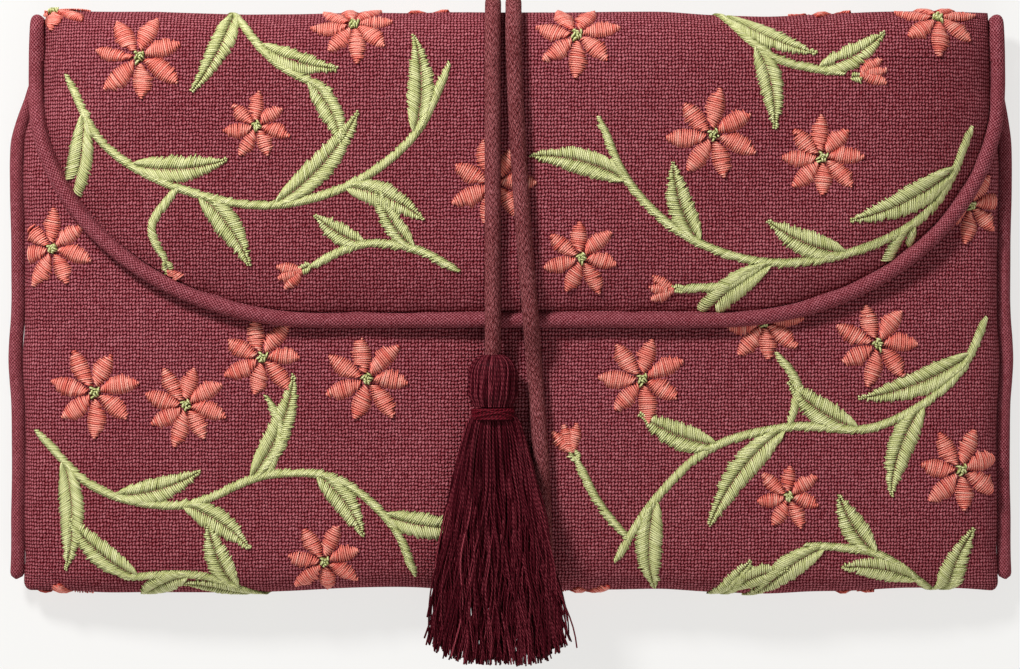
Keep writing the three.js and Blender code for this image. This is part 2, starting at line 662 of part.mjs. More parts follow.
// The skirt lies on the front, rises over the right-hand strand, and thins to its ends
const tasselX = (y) => leftStrand + (tasselTop - y) * Math.tan(tasselSwing);
const skirtTop = tasselTop - headLong - 2 * pieceGap - bindingLong;
const [skirtColumns, skirtRows] = [12, 9];
const skirtNeckShare = 1 / 3; // by this share of its length the skirt has come down from the neck
function skirtFace(side) {
  const flare = (t) => mix(skirtNeckHalf, skirtEndHalf, Math.sin(t * Math.PI / 2) ** skirtFlare);
  return range(skirtColumns + 1, (i) => range(skirtRows + 1, (j) => {
    const t = j / skirtRows;
    const y = mix(skirtTop, skirtTip, t);
    const share = -Math.cos((i / skirtColumns) * Math.PI);
    const x = tasselX(y) + flare(t) * share;
    const deep = mix(skirtNeckDeep, skirtEndDeep, t);
    const rest = frontHeight(x, 0) + skirtRise;
    const onStrand = 2 * cordOffset * smooth((x - rightX(y) + cordOffset + strandRamp) / strandRamp);
    const neck = headHeight - deep / 2 - rest;
    const down = smooth(t / skirtNeckShare);
    const low = rest + Math.max(onStrand * down, neck * (1 - down));
    const round = Math.sqrt(Math.max(0, 1 - share ** 2));
    const half = (deep / 2) * mix(skirtRim, 1, round);
    return [x, y, low + deep / 2 + side * half];
  }));
}

const group = new THREE.Group();
const colours = {
  linen: [0x7a3a42, 0.92, 0],
  piping: [0x74363e, 0.9, 0],
  core: [0xe8e2d6, 0.95, 0],
  wadding: [0xf1eee8, 1, 0],
  lining: [0x8a4a50, 0.6, 0],
  cord: [0x713b3d, 0.95, 0],
  yarn: [0x4a1a22, 0.45, 0],
  binding: [0x7c1f2c, 0.5, 0],
  tape: [0x5d2a31, 0.85, 0],
  metal: [0xb8a27a, 0.3, 1],
  elastic: [0x5d2a31, 0.8, 0],
};
function add(name, geometry, finish, parent = group) {
  const [color, roughness, metalness] = colours[finish];
  const mesh = new THREE.Mesh(geometry, new THREE.MeshStandardMaterial({ color, roughness, metalness }));
  mesh.name = name;
  parent.add(mesh);
  return mesh;
}

add('body_shell', bodyShell, 'linen');
add('body_wadding', bodyWadding, 'wadding');
add('body_lining', bodyLining, 'lining');
for (const [side, word] of [[-1, 'left'], [1, 'right']]) {
  add(`slip_pocket_${word}`, slipPocket(side), 'lining');
  add(`slip_elastic_${word}`, slipElastic(side), 'elastic');
}
add('fold_shell', foldShell, 'linen');
add('fold_wadding', foldWadding, 'wadding');
add('fold_lining', foldLining, 'lining');
add('flap_shell', flapShell, 'linen');
add('flap_wadding', flapWadding, 'wadding');
add('flap_lining', flapLining, 'lining');
add('flap_pocket_bag', pocketBag, 'lining');

// Each piping is a bias-cut sleeve round its core
const wide = [pipingRadius, pipingWall, coreRadius];
const narrow = [mouthPipingRadius, mouthPipingWall, mouthCoreRadius];
function addPiping(name, path, [radius, wall, core], steps) {
  add(name, sleeve(path, radius, wall, pipingSides, steps), 'piping');
  add(`${name}_core`, rod(path, core, coreSides, steps), 'core');
}
addPiping('flap_piping', flapPipingPath, wide, 40);
addPiping('mouth_piping', mouthPipingPath, narrow, 14);
for (const [side, word] of [[-1, 'left'], [1, 'right']]) {
  addPiping(`side_piping_${word}`, sidePipingPath(side), wide, 10);
  addPiping(`fold_piping_${word}`, foldPipingPath(side), wide, 12);
}

for (const [side, word] of [[1, 'upper'], [-1, 'lower']]) {
  add(`zip_tape_${word}`, tape(side), 'tape');
  add(`zip_teeth_${word}`, teeth(side), 'metal');
}
for (const [side, word] of [[-1, 'left'], [1, 'right']]) add(`zip_stop_${word}`, stop(side), 'metal');
add('zip_slider', slider(), 'metal');
add('zip_pull', pull(), 'metal');

add('wrap_cord', rod(cordPath, cordRadius, cordSides, cordSteps), 'cord');
const tassel = new THREE.Group();
tassel.position.set(leftStrand, tasselTop, headHeight);
group.add(tassel);
add('tassel_head', turned(headProfile(), headFlat), 'yarn', tassel);
const knot = new THREE.SphereGeometry(knotRadius, 12, 8).scale(1, 1, headFlat);
add('tassel_knot', knot.translate(0, knotY - tasselTop, 0), 'cord', tassel);
add('tassel_binding', turned(bindingProfile(), headFlat), 'binding', tassel);
add('tassel_skirt', sheet(skirtFace(1), skirtFace(-1)), 'yarn');

export default group;
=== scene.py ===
import math

import bmesh
import bpy
import numpy as np
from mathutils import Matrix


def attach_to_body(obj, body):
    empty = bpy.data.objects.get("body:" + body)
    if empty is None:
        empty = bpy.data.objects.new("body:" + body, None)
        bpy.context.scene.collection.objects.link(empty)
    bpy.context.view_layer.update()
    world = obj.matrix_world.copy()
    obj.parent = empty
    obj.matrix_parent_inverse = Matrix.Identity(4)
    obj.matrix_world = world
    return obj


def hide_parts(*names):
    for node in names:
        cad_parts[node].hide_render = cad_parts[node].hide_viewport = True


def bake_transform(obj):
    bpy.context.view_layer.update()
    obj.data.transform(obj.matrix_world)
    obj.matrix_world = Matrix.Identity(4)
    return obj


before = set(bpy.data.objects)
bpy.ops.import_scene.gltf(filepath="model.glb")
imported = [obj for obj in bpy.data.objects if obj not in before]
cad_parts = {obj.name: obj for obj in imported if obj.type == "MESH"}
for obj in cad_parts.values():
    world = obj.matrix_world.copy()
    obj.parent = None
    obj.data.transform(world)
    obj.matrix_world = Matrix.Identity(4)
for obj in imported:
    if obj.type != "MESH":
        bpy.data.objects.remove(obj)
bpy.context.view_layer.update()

# Padded linen jewellery pouch with piped edges, satin-stitch embroidery, a tie cord and a tassel.
# It lies on its back: +X to the right, +Y to the top fold, +Z up, metres.

print("scene: frame loaded")


class Sizes(dict):  # a dictionary whose values also read as attributes
    __getattr__ = dict.__getitem__


def addObject(name, data):
    made = bpy.data.objects.new(name, data)
    bpy.context.scene.collection.objects.link(made)
    return made


# Camera

view = Sizes(middleX=-0.0002, middleY=-0.0075, height=0.894, lens=135, sensor=36)


def addCamera():
    data = bpy.data.cameras.new("camera")
    data.lens = view.lens
    data.sensor_width = view.sensor
    camera = addObject("camera", data)
    camera.location = (view.middleX, view.middleY, view.height)
    bpy.context.scene.camera = camera


addCamera()


# Numbers

leftRight = ((-1, "left"), (1, "right"))


def smooth(t):
    t = np.clip(t, 0, 1)
    return t * t * (3 - 2 * t)


def mix(a, b, t):
    return a + (b - a) * t


def xyz(*axes):  # points from their coordinates, which may be numbers, rows, columns or grids
    return np.stack(np.broadcast_arrays(*axes), axis=-1)


def ripple(x, y, size, seed):  # smooth random heights from -1 to 1, in cells of that size
    cells = 64
    table = np.random.default_rng(seed).uniform(-1, 1, (cells, cells))
    i, j = np.floor(x / size), np.floor(y / size)
    s, t = smooth(x / size - i), smooth(y / size - j)
    i, j = i.astype(int), j.astype(int)
    at = lambda a, b: table[(i + a) % cells, (j + b) % cells]
    return mix(mix(at(0, 0), at(1, 0), s), mix(at(0, 1), at(1, 1), s), t)


# Shape of the pouch: the same rules as its solids

pouch = Sizes(
    linen=0.0008, wadding=0.0012, lining=0.0004, layerGap=0.0003, pieceGap=0.0003,
    seamHalf=0.1131, bodyHalf=0.0668, bodyThickness=0.0175, seamHalfThickness=0.0022, seamHeight=0.0053,
    sideFullness=4, foldFullness=10, tableSink=0.0012, mouthDrop=0.016,
    waddingInset=0.0035, liningInset=0.0054, seamThin=0.35, seamRoll=0.004, rimRoll=0.003,
    foldReach=0.011, shoulderTall=0.021, shoulderRamp=0.008,
)
flap = Sizes(
    half=0.1092, shift=0.0014, depth=0.0691, cornerWide=0.064, cornerTall=0.052, room=0.0005, bulge=0.002,
    edge=0.0016, roll=0.014, leastTall=0.002, waddingInset=0.009, waddingEase=1.5, liningInset=0.0016,
    foldWaddingInset=0.0065, pocketCloth=0.0003,
)
cord = Sizes(
    radius=0.002, room=0.0008, settle=0.0006, low=0.0001, leftX=-0.0041, rightX=0.0006, rightEndX=0.0078,
    start=-0.004, channelHalf=0.0052, channelRamp=0.006, foldShare=0.12, crossFrom=0.004,
)
tassel = Sizes(
    top=-0.0118, swing=math.radians(0.6), headHalf=0.0058, headDeep=0.0048, headLong=0.0122, headTaper=0.003,
    neckHalf=0.0047, knotRadius=0.003, knotClear=0.0016, bindingLong=0.0028, bindingHalf=0.0056,
    skirtNeckHalf=0.006, skirtEndHalf=0.015, skirtNeckDeep=0.007, skirtEndDeep=0.005,
    skirtTip=-0.082, skirtRise=0.0005, strandRamp=0.0075,
)

layersThick = pouch.linen + pouch.wadding + pouch.lining + 2 * pouch.layerGap
flapThick = layersThick + flap.pocketCloth + pouch.layerGap
waddingTop = pouch.linen + pouch.layerGap
waddingBottom = waddingTop + pouch.wadding
liningTop = waddingBottom + pouch.layerGap
foldLine = pouch.bodyHalf - pouch.foldReach
mouthRim = pouch.bodyHalf - pouch.mouthDrop
shoulderStart = foldLine - pouch.shoulderTall
flapBottom = pouch.bodyHalf - flap.depth
cornerMid = flapBottom + flap.cornerTall
straightHalf = flap.half - flap.cornerWide
cordOffset = cord.radius + cord.room
cordMid = cord.radius + cord.low
backStrand = (cord.leftX + cord.rightX) / 2
channelDeep = cordMid + cordOffset + pouch.tableSink


def shoulder(y):
    return smooth((y - shoulderStart) / (foldLine - shoulderStart))


def halfWidth(y):
    return mix(pouch.seamHalf, flap.half, shoulder(y))


def middleX(y):
    return flap.shift * shoulder(y)


def crown(x, y):
    across = np.clip(np.abs((x - middleX(y)) / halfWidth(y)), 0, 1)
    return np.sqrt(1 - across**pouch.sideFullness)


def halfThick(x, y):
    return mix(pouch.seamHalfThickness, pouch.bodyThickness / 2, crown(x, y))


def midHeight(x, y):
    return mix(pouch.seamHeight, pouch.bodyThickness / 2 - pouch.tableSink, crown(x, y))


def roundness(y, inset=0):
    share = np.minimum(1, np.abs(y) / (pouch.bodyHalf - inset))
    return np.sqrt(np.maximum(0, 1 - share**pouch.foldFullness))


def channelX(y):
    return mix(cord.rightEndX, backStrand, smooth((y + pouch.bodyHalf) / pouch.bodyHalf))


def channel(x, y):
    return channelDeep * (1 - smooth((np.abs(x - channelX(y)) - cord.channelHalf) / cord.channelRamp))


def frontHeight(x, y, inset=0):
    return midHeight(x, y) + (halfThick(x, y) - inset) * roundness(y, inset)


def backHeight(x, y, thick, inset=0, least=0):
    return np.maximum(least, midHeight(x, y) - (thick - channel(x, y)) * roundness(y, inset))


def pastStraight(x):  # beyond the straight part of the flap's bottom edge
    return np.abs(x - flap.shift) - straightHalf


def insideSeam(x, y):  # how far a point lies inside the flap's seam
    sideways = np.maximum(0, pastStraight(x)) / flap.cornerWide
    down = np.maximum(0, cornerMid - y) / flap.cornerTall
    return (1 - np.hypot(sideways, down)) * flap.cornerTall


def alongSeam(x, y):  # and how far along that seam its foot is
    sideways = np.maximum(0, pastStraight(x)) / flap.cornerWide
    turn = np.arctan2(sideways, np.maximum(0, cornerMid - y) / flap.cornerTall)
    run = (flap.cornerWide + flap.cornerTall) / 2 * turn + np.maximum(0, y - cornerMid)
    return np.where(sideways > 0, np.sign(x - flap.shift) * (straightHalf + run), x - flap.shift)


def outlineY(x, inset):
    reach = np.clip(pastStraight(x) / (flap.cornerWide - inset), 0, 1)
    return cornerMid - (flap.cornerTall - inset) * np.sqrt(1 - reach**2)


def swell(x, y):
    return 1 - (1 - np.clip(insideSeam(x, y) / flap.roll, 0, 1)) ** 2


def flapUnder(x, y):
    return frontHeight(x, y) + flap.room + flap.bulge * swell(x, y)


def flapOver(x, y):
    return flapUnder(x, y) + mix(flap.edge, flapThick, swell(x, y))


# Small folds in the cloth: broad waves, crinkles, and gathers along the seams

cloth = Sizes(
    wave=0.031, waveDeep=0.0008, crinkle=0.0115, crinkleDeep=0.0003, quietX=0.0018, quietHalf=0.009,
    quietRamp=0.014, quietShare=0.3, gather=0.0052, gatherDeep=0.0006, gatherReach=0.0065, sideways=0.15,
    fade=0.008, backRise=0.00025, sideWave=0.013, sideWaveDeep=0.0006, corner=0.0022, seed=5, sideSeed=20,
)


def relief(x, y, along, inside, seed=cloth.seed):
    broad = ripple(x, y, cloth.wave, seed) * cloth.waveDeep
    fine = ripple(x, y, cloth.crinkle, seed + 1) * cloth.crinkleDeep
    gathers = ripple(along, 0 * along, cloth.gather, seed + 2) * cloth.gatherDeep
    quiet = mix(cloth.quietShare, 1, smooth((np.abs(x - cloth.quietX) - cloth.quietHalf) / cloth.quietRamp))
    return (broad + fine) * quiet + gathers * np.exp(-np.maximum(0, inside) / cloth.gatherReach)


def sideWave(y):  # the side seams wander a little
    along, wave = np.asarray(y, float), cloth.sideWave
    ends = smooth((shoulderStart - along) / wave) * smooth((along + pouch.bodyHalf) / wave)
    return ripple(along, 0 * along, wave, cloth.seed + cloth.sideSeed) * cloth.sideWaveDeep * ends


# Meshes from grids of points

def gridQuads(rows, columns):
    at = np.arange(rows * columns).reshape(rows, columns)
    return np.stack([at[:-1, :-1], at[:-1, 1:], at[1:, 1:], at[1:, :-1]], axis=-1).reshape(-1, 4)


def closeSides(rows, columns):  # joins the front and back edges of a folded grid with an even count of rows
    at = np.arange(rows * columns).reshape(rows, columns)
    half = rows // 2
    strips = []
    for edge in (0, -1):
        front, back = at[:half, edge], at[::-1, edge][:half]
        strips.append(np.stack([front[:-1], front[1:], back[1:], back[:-1]], axis=-1))
    return np.concatenate(strips)


def slab(upper, lower, quads):  # gives a skin its thickness, with walls round every open edge
    count = len(upper)
    sides = np.concatenate([quads[:, [0, 1]], quads[:, [1, 2]], quads[:, [2, 3]], quads[:, [3, 0]]])
    _, first, uses = np.unique(np.sort(sides, axis=1), axis=0, return_index=True, return_counts=True)
    openEdges = sides[first[uses == 1]]
    walls = np.column_stack([openEdges[:, ::-1], openEdges + count])
    return np.concatenate([upper, lower]), np.concatenate([quads, quads[:, ::-1] + count, walls])


def addPiece(name, points, faces, finish, uvs=None, sharp=None):
    mesh = bpy.data.meshes.new(name)
    mesh.from_pydata(np.asarray(points).tolist(), [], [list(face) for face in faces])
    if uvs is not None:
        mesh.uv_layers.new(name="UVMap").data.foreach_set("uv", np.asarray(uvs, float).ravel())
    work = bmesh.new()
    work.from_mesh(mesh)
    bmesh.ops.recalc_face_normals(work, faces=work.faces)
    work.to_mesh(mesh)
    work.free()
    mesh.shade_smooth()
    if sharp:
        mesh.set_sharp_from_angle(angle=math.radians(sharp))
    mesh.materials.append(finish)
    return addObject(name, mesh)


def addSkin(name, upper, lower, quads, uvs, finish, sharp=None):
    flat = lambda grid: grid.reshape(-1, grid.shape[-1])
    points, faces = slab(flat(upper), flat(lower), quads)
    pointUvs = np.concatenate([flat(uvs), flat(uvs)])
    return addPiece(name, points, faces, finish, pointUvs[faces.ravel()], sharp)


def normalsOf(grid):  # square to the grid, upwards where it starts
    down, across = np.gradient(grid, axis=0), np.gradient(grid, axis=1)
    normals = np.cross(across, down)
    normals /= np.maximum(1e-12, np.linalg.norm(normals, axis=-1, keepdims=True))
    return normals * np.sign(normals[2, grid.shape[1] // 2, 2])


def gridUvs(grid):  # metres along the cloth: across from the middle column, and down
    acrossStep = np.linalg.norm(np.diff(grid, axis=1), axis=-1)
    across = np.concatenate([np.zeros((len(grid), 1)), np.cumsum(acrossStep, axis=1)], axis=1)
    middle = grid.shape[1] // 2
    across -= across[:, middle : middle + 1]
    line = grid[:, middle]
    down = np.concatenate([[0], np.cumsum(np.linalg.norm(np.diff(line, axis=0), axis=-1))])
    return np.stack([across, np.broadcast_to(down[:, None], across.shape)], axis=-1)


# Smooth routes and round tubes along them

def spline(points, steps=12):  # centripetal Catmull-Rom
    points = [np.array(p, float) for p in points]
    points = [2 * points[0] - points[1]] + points + [2 * points[-1] - points[-2]]
    line = []
    for a, b, c, d in zip(points, points[1:], points[2:], points[3:]):
        ab, bc, cd = (max(1e-6, math.sqrt(np.linalg.norm(q - p))) for p, q in ((a, b), (b, c), (c, d)))
        leave = ((b - a) / ab - (c - a) / (ab + bc) + (c - b) / bc) * bc
        arrive = ((c - b) / bc - (d - b) / (bc + cd) + (d - c) / cd) * bc
        square, cube = 3 * (c - b) - 2 * leave - arrive, 2 * (b - c) + leave + arrive
        line += [b + leave * t + square * t**2 + cube * t**3 for t in np.arange(steps) / steps]
    return np.array(line + [points[-2]])


def lengths(line):
    return np.concatenate([[0], np.cumsum(np.linalg.norm(np.diff(line, axis=0), axis=1))])


def spaced(line, step):
    run = lengths(line)
    at = np.linspace(0, run[-1], max(2, round(run[-1] / step) + 1))
    return np.stack([np.interp(at, run, line[:, k]) for k in range(3)], axis=1)


def framesOf(line):  # two directions square to the line, carried along it without twist
    forward = np.gradient(line, axis=0)
    forward /= np.linalg.norm(forward, axis=1, keepdims=True)
    side = np.cross(forward[0], [0, 0, 1.0])
    if np.linalg.norm(side) < 1e-3:
        side = np.array([1.0, 0, 0])
    sides = []
    for way in forward:
        side = side - way * np.dot(side, way)
        side = side / np.linalg.norm(side)
        sides.append(side)
    sides = np.array(sides)
    return sides, np.cross(sides, forward)


def tubeGrid(line, sides, radius):  # radius is a number, or a function of (turn, run)
    side, up = framesOf(line)
    turn = np.arange(sides) / sides * 2 * math.pi
    run = lengths(line)
    wide = radius(turn[None, :], run[:, None]) if callable(radius) else np.full((len(line), sides), radius)
    spokes = np.cos(turn)[None, :, None] * side[:, None] + np.sin(turn)[None, :, None] * up[:, None]
    return line[:, None] + spokes * wide[..., None]


def tubeFaces(rings, sides, ringStep, around):  # quads, and the metres round and along at their corners
    i, k = np.meshgrid(np.arange(rings - 1), np.arange(sides), indexing="ij")
    corners = [(i, k), (i, k + 1), (i + 1, k + 1), (i + 1, k)]
    quads = np.stack([a * sides + b % sides for a, b in corners], axis=-1).reshape(-1, 4)
    uvs = np.stack([np.stack([b / sides * around, a * ringStep], axis=-1) for a, b in corners], axis=2)
    return quads, uvs.reshape(-1, 2)


def domed(line, radius, ends, inset, least=0.02):  # shares of the radius, rounded off at closed ends
    run = lengths(line)
    share = np.ones(len(run))
    for isClosed, away in zip(ends, (run - inset, run[-1] - run - inset)):
        if isClosed:
            share = np.minimum(share, np.sqrt(np.clip(1 - (1 - away / radius).clip(0, 1) ** 2, least, 1)))
    return share


def addTube(name, line, radius, sides, finish, wall=None, meanRadius=None, closed=(False, False)):
    mean = meanRadius or radius
    rings, last = len(line), (len(line) - 1) * sides
    grid = tubeGrid(line, sides, radius)
    grid = line[:, None] + (grid - line[:, None]) * domed(line, mean, closed, 0)[:, None, None]
    quads, uvs = tubeFaces(rings, sides, lengths(line)[-1] / (rings - 1), 2 * math.pi * mean)
    faces, points = quads.tolist(), [grid.reshape(-1, 3)]
    shift = rings * sides
    if wall:
        inner = tubeGrid(line, sides, mean - wall) - line[:, None]
        inner = line[:, None] + inner * domed(line, mean - wall, closed, wall)[:, None, None]
        points.append(inner.reshape(-1, 3))
        faces += (quads[:, ::-1] + shift).tolist()
        uvs = np.concatenate([uvs, uvs.reshape(-1, 4, 2)[:, ::-1].reshape(-1, 2)])
    for start, turned, isClosed in ((0, -1, closed[0]), (last, 1, closed[1])):
        ring = [start + k for k in range(sides)][::turned]
        if not wall or isClosed:
            faces.append(ring)
        if wall and isClosed:
            faces.append([k + shift for k in ring[::-1]])
        elif wall:
            faces += [[b, a, a + shift, b + shift] for a, b in zip(ring, ring[1:] + ring[:1])]
    caps = sum(len(face) for face in faces) - len(uvs)
    uvs = np.concatenate([uvs, np.zeros((caps, 2))])
    return addPiece(name, np.concatenate(points), faces, finish, uvs, sharp=60)


# Node trees, from expressions on their sockets

def operator(name, isReflected=False):
    def combine(self, other):
        return self.graph.maths(name, *((other, self) if isReflected else (self, other)))
    return combine


class Wire:  # a socket, whose sums and products are Math nodes
    def __init__(self, graph, socket):
        self.graph = graph
        self.socket = socket

    __add__ = __radd__ = operator("ADD")
    __mul__ = __rmul__ = operator("MULTIPLY")
    __sub__, __rsub__ = operator("SUBTRACT"), operator("SUBTRACT", True)
    __truediv__, __rtruediv__ = operator("DIVIDE"), operator("DIVIDE", True)
    __pow__ = operator("POWER")


class Graph:
    def __init__(self, tree):
        self.tree = tree

    def put(self, socket, value):
        if isinstance(value, Wire):
            self.tree.links.new(value.socket, socket)
        else:
            socket.default_value = value

    def node(self, kind, settings=None, sockets=None):
        made = self.tree.nodes.new(kind)
        for name, value in (settings or {}).items():
            if name == "stops":
                ramp = made.color_ramp
                while len(ramp.elements) < len(value):
                    ramp.elements.new(1)
                for element, (place, colour) in zip(ramp.elements, value):
                    element.position = place
                    element.color = (*colour, 1)
            else:
                setattr(made, name, value)
        for name, value in (sockets or {}).items():
            self.put(made.inputs[name], value)
        return made

    def wire(self, kind, settings=None, sockets=None, out=0):
        return Wire(self, self.node(kind, settings, sockets).outputs[out])

    def maths(self, operation, *values):
        return self.wire("ShaderNodeMath", {"operation": operation}, dict(enumerate(values)))

    def floor(self, value):
        return self.maths("FLOOR", value)

    def wave(self, turn):  # a sine, brought to 0 to 1
        return self.maths("SINE", turn) * 0.5 + 0.5

    def vector(self, x, y=0.0, z=0.0):
        return self.wire("ShaderNodeCombineXYZ", None, {0: x, 1: y, 2: z})

    def parts(self, vector):
        split = self.node("ShaderNodeSeparateXYZ", None, {0: vector})
        return [Wire(self, output) for output in split.outputs]

    def place(self):  # the point in the piece's own frame
        return self.wire("ShaderNodeTexCoord", None, None, 3)

    def clothUv(self):  # metres across and along the cloth
        return self.parts(self.wire("ShaderNodeUVMap", {"uv_map": "UVMap"}))[:2]

    def stored(self, name, out=2):
        return self.wire("ShaderNodeAttribute", {"attribute_name": name}, None, out)

    def noise(self, vector, scale=1.0, detail=2.0, rough=0.5, flat=False, out=0):
        return self.wire(
            "ShaderNodeTexNoise", {"noise_dimensions": "2D" if flat else "3D"},
            {"Vector": vector, "Scale": scale, "Detail": detail, "Roughness": rough}, out,
        )

    def bump(self, height, deep):
        return self.wire("ShaderNodeBump", None, {"Strength": 1.0, "Distance": deep, "Height": height})

    def surface(self, level, stops, height, deep):  # a colour from the ramp, and bumps of that depth
        colour = self.wire("ShaderNodeValToRGB", {"stops": stops}, {0: level})
        return {"Base Color": colour, "Normal": self.bump(height, deep)}


def material(name, build, **fixed):  # build gives the sockets that vary over the surface
    made = bpy.data.materials.new(name)
    made.use_nodes = True
    made.node_tree.nodes.clear()
    graph = Graph(made.node_tree)
    sockets = {key.replace("_", " "): value for key, value in fixed.items()}
    shader = graph.node("ShaderNodeBsdfPrincipled", None, sockets)
    for key, value in build(graph).items():
        graph.put(shader.inputs[key], value)
    graph.node("ShaderNodeOutputMaterial", None, {"Surface": Wire(graph, shader.outputs[0])})
    return made


# Finishes: where a look has stops, they are its colours from the lowest level to the highest

weave = Sizes(
    lean=0.28, across=0.75, along=0.3, hole=0.45, oddHole=0.4, drift=3, shadeStep=7.31, shadeRun=0.8,
)
linenLook = Sizes(
    pitch=0.000765, tall=1.13, uneven=0.5, deep=0.00028, grainScale=1800, spread=0.36,
    stops=(
        (0.0, (0.045, 0.0005, 0.0012)), (0.3, (0.102, 0.0045, 0.008)), (0.62, (0.228, 0.040, 0.052)),
        (1.0, (0.57, 0.19, 0.22)),
    ),
)
pipingLook = Sizes(
    pitch=0.00058, tall=1.0, uneven=0.4, deep=0.00014, grainScale=2400, spread=0.5,
    stops=(
        (0.0, (0.065, 0.003, 0.006)), (0.3, (0.125, 0.011, 0.017)), (0.62, (0.255, 0.050, 0.064)),
        (1.0, (0.50, 0.17, 0.20)),
    ),
)
clothShare = Sizes(height=0.78, grain=0.5, blotch=0.1, base=0.06, grainBump=0.35, blotchScale=30.0)


def threads(graph, u, v, pitch, uneven, tall=1.0):
    # Plain weave: the rounded height of the thread on top, with holes where four threads meet,
    # and that thread's own shade
    stray = graph.vector(u / (pitch * weave.drift), v / (pitch * weave.drift))
    drift = graph.parts(graph.noise(stray, detail=0.0, flat=True, out=1))
    u = u / pitch + (drift[0] - 0.5) * uneven
    v = v / (pitch * tall) + (drift[1] - 0.5) * uneven
    i, j = graph.floor(u), graph.floor(v)
    fu, fv = (u - i) * 2 - 1, (v - j) * 2 - 1
    su, sv = fu + fv * weave.lean, fv + fu * weave.lean
    uu, vv = su * su, sv * sv
    odd = lambda a, b: graph.maths("FRACT", (a + b) * 0.5) * 2
    weft = odd(i, j)
    wide = odd(graph.floor(u + 0.5), graph.floor(v + 0.5))
    crossed = uu + (vv - uu) * weft
    along = vv + (uu - vv) * weft
    # every other corner's hole is deeper, and through the colour level darker: painted shade on the side away
    # from the light
    hole = fu * fu * fv * fv * (wide * weave.oddHole + weave.hole)
    height = (1 - crossed * weave.across) * (1 - along * along * weave.along) - hole
    shade = lambda line, run: graph.noise(
        graph.vector(line * weave.shadeStep, run * weave.shadeRun), detail=1.0, flat=True
    )
    warpShade, weftShade = shade(i, v), shade(j + 57.0, u)
    return height, warpShade + (weftShade - warpShade) * weft


def linen(graph, look=linenLook, isBias=False):
    u, v = graph.clothUv()
    if isBias:
        u, v = (u + v) * math.sqrt(0.5), (u - v) * math.sqrt(0.5)
    height, shade = threads(graph, u, v, look.pitch, look.uneven, look.tall)
    place = graph.place()
    grain = graph.noise(place, look.grainScale, 3.0, 0.7) - 0.5
    blotch = graph.noise(place, clothShare.blotchScale) - 0.5
    # the weave's height in the colour level is painted light: thread crowns lighter as if lit, holes darker
    # as if shaded; shade, grain and blotch are the yarn's own tone
    level = height * clothShare.height + (shade - 0.5) * look.spread
    level = level + grain * clothShare.grain + blotch * clothShare.blotch + clothShare.base
    return graph.surface(level, look.stops, height + grain * clothShare.grainBump, look.deep)


braid = Sizes(radius=0.00186, carriers=16, lay=0.0031, relief=0.00013, sides=48, ringStep=0.00026)
braidLook = Sizes(
    grainScale=3000, drawn=0.35, grain=1.6, blotchScale=0.1, blotch=0.4, base=-0.16, deep=0.00015,
    groove=0.7, fuzz=0.3,
    stops=((0.0, (0.022, 0.001, 0.0015)), (0.5, (0.160, 0.028, 0.031)), (1.0, (0.52, 0.185, 0.195))),
)


def braided(graph):
    u, v = graph.clothUv()
    turn = u / (2 * math.pi * braid.radius) * braid.carriers
    run = v / braid.lay * 2
    a, b = run + turn, run - turn
    i, j = graph.floor(a), graph.floor(b)
    over = graph.floor(graph.maths("FRACT", (i - j) * 0.25) * 2)
    cross = a - i - 0.5
    cross = cross + (b - j - 0.5 - cross) * over
    edge = cross * cross * 4
    # the dip between the two yarns also darkens the colour: painted shade
    yarns = 0.5 - graph.maths("COSINE", cross * (4 * math.pi)) * 0.5  # two yarns side by side in each strand
    height = (1 - edge * edge) * (yarns * 0.5 + 0.5)
    grain = graph.noise(graph.vector(u, v * braidLook.drawn), braidLook.grainScale, 2.0, 0.6)
    blotch = graph.noise(graph.vector(a * braidLook.blotchScale, b * braidLook.blotchScale))
    # the strand's height in the colour level is painted light: crowns lighter as if lit, grooves darker as if
    # shaded; grain and blotch are the cord's own tone
    level = height + (grain - 0.5) * braidLook.grain + (blotch - 0.5) * braidLook.blotch + braidLook.base
    relief = height * braidLook.groove + grain * braidLook.fuzz
    return graph.surface(level, braidLook.stops, relief, braidLook.deep)


yarnLook = Sizes(
    twist=0.0011, ply=0.4, tint=0.6, deep=0.00004,
    stops=((0.0, (0.010, 0.0002, 0.001)), (0.5, (0.065, 0.004, 0.009)), (1.0, (0.34, 0.06, 0.08))),
)
bindingLook = Sizes(
    twist=0.0009, ply=1.0, tint=0.0, deep=0.0001,
    stops=((0.0, (0.022, 0.0005, 0.002)), (1.0, (0.20, 0.012, 0.024))),
)


def twisted(look):  # turn and along come from the strand itself
    def build(graph):
        turn = graph.parts(graph.stored("turn", 1))
        angle = graph.maths("ARCTAN2", turn[1], turn[0])
        # painted light along the twist: each ply's crown lighter and the groove between plies darker as if
        # shaded; tint is the strand's own tone
        ply = graph.wave(angle * 2 + graph.stored("along") * (2 * math.pi / look.twist))
        level = ply * look.ply + graph.stored("tint") * look.tint
        return graph.surface(level, look.stops, ply, look.deep)
    return build


stitchShare = Sizes(tint=0.5, twist=0.12, top=0.75, base=-0.16, twistU=60.0, twistV=12.6, deep=0.00005)


def sewn(dark, middle, light):
    def build(graph):
        u, v = graph.clothUv()
        # painted light on each stitch: its upper face lighter as if lit, its sides darker as if shaded, and
        # sheen stripes along its twist; tint is each stitch's own tone
        twist = graph.wave(u * stitchShare.twistU + v * stitchShare.twistV)
        top = 1 - graph.maths("MINIMUM", graph.maths("ABSOLUTE", u * 8 - 1), 1.0)  # the thread's upper face
        level = graph.stored("tint") * stitchShare.tint + twist * stitchShare.twist
        level = level + top * stitchShare.top + stitchShare.base
        return graph.surface(level, ((0.0, dark), (0.5, middle), (1.0, light)), twist, stitchShare.deep)
    return build


fineShare = Sizes(uneven=0.3, height=0.3, shade=0.5, blotchScale=60.0, blotch=0.3)


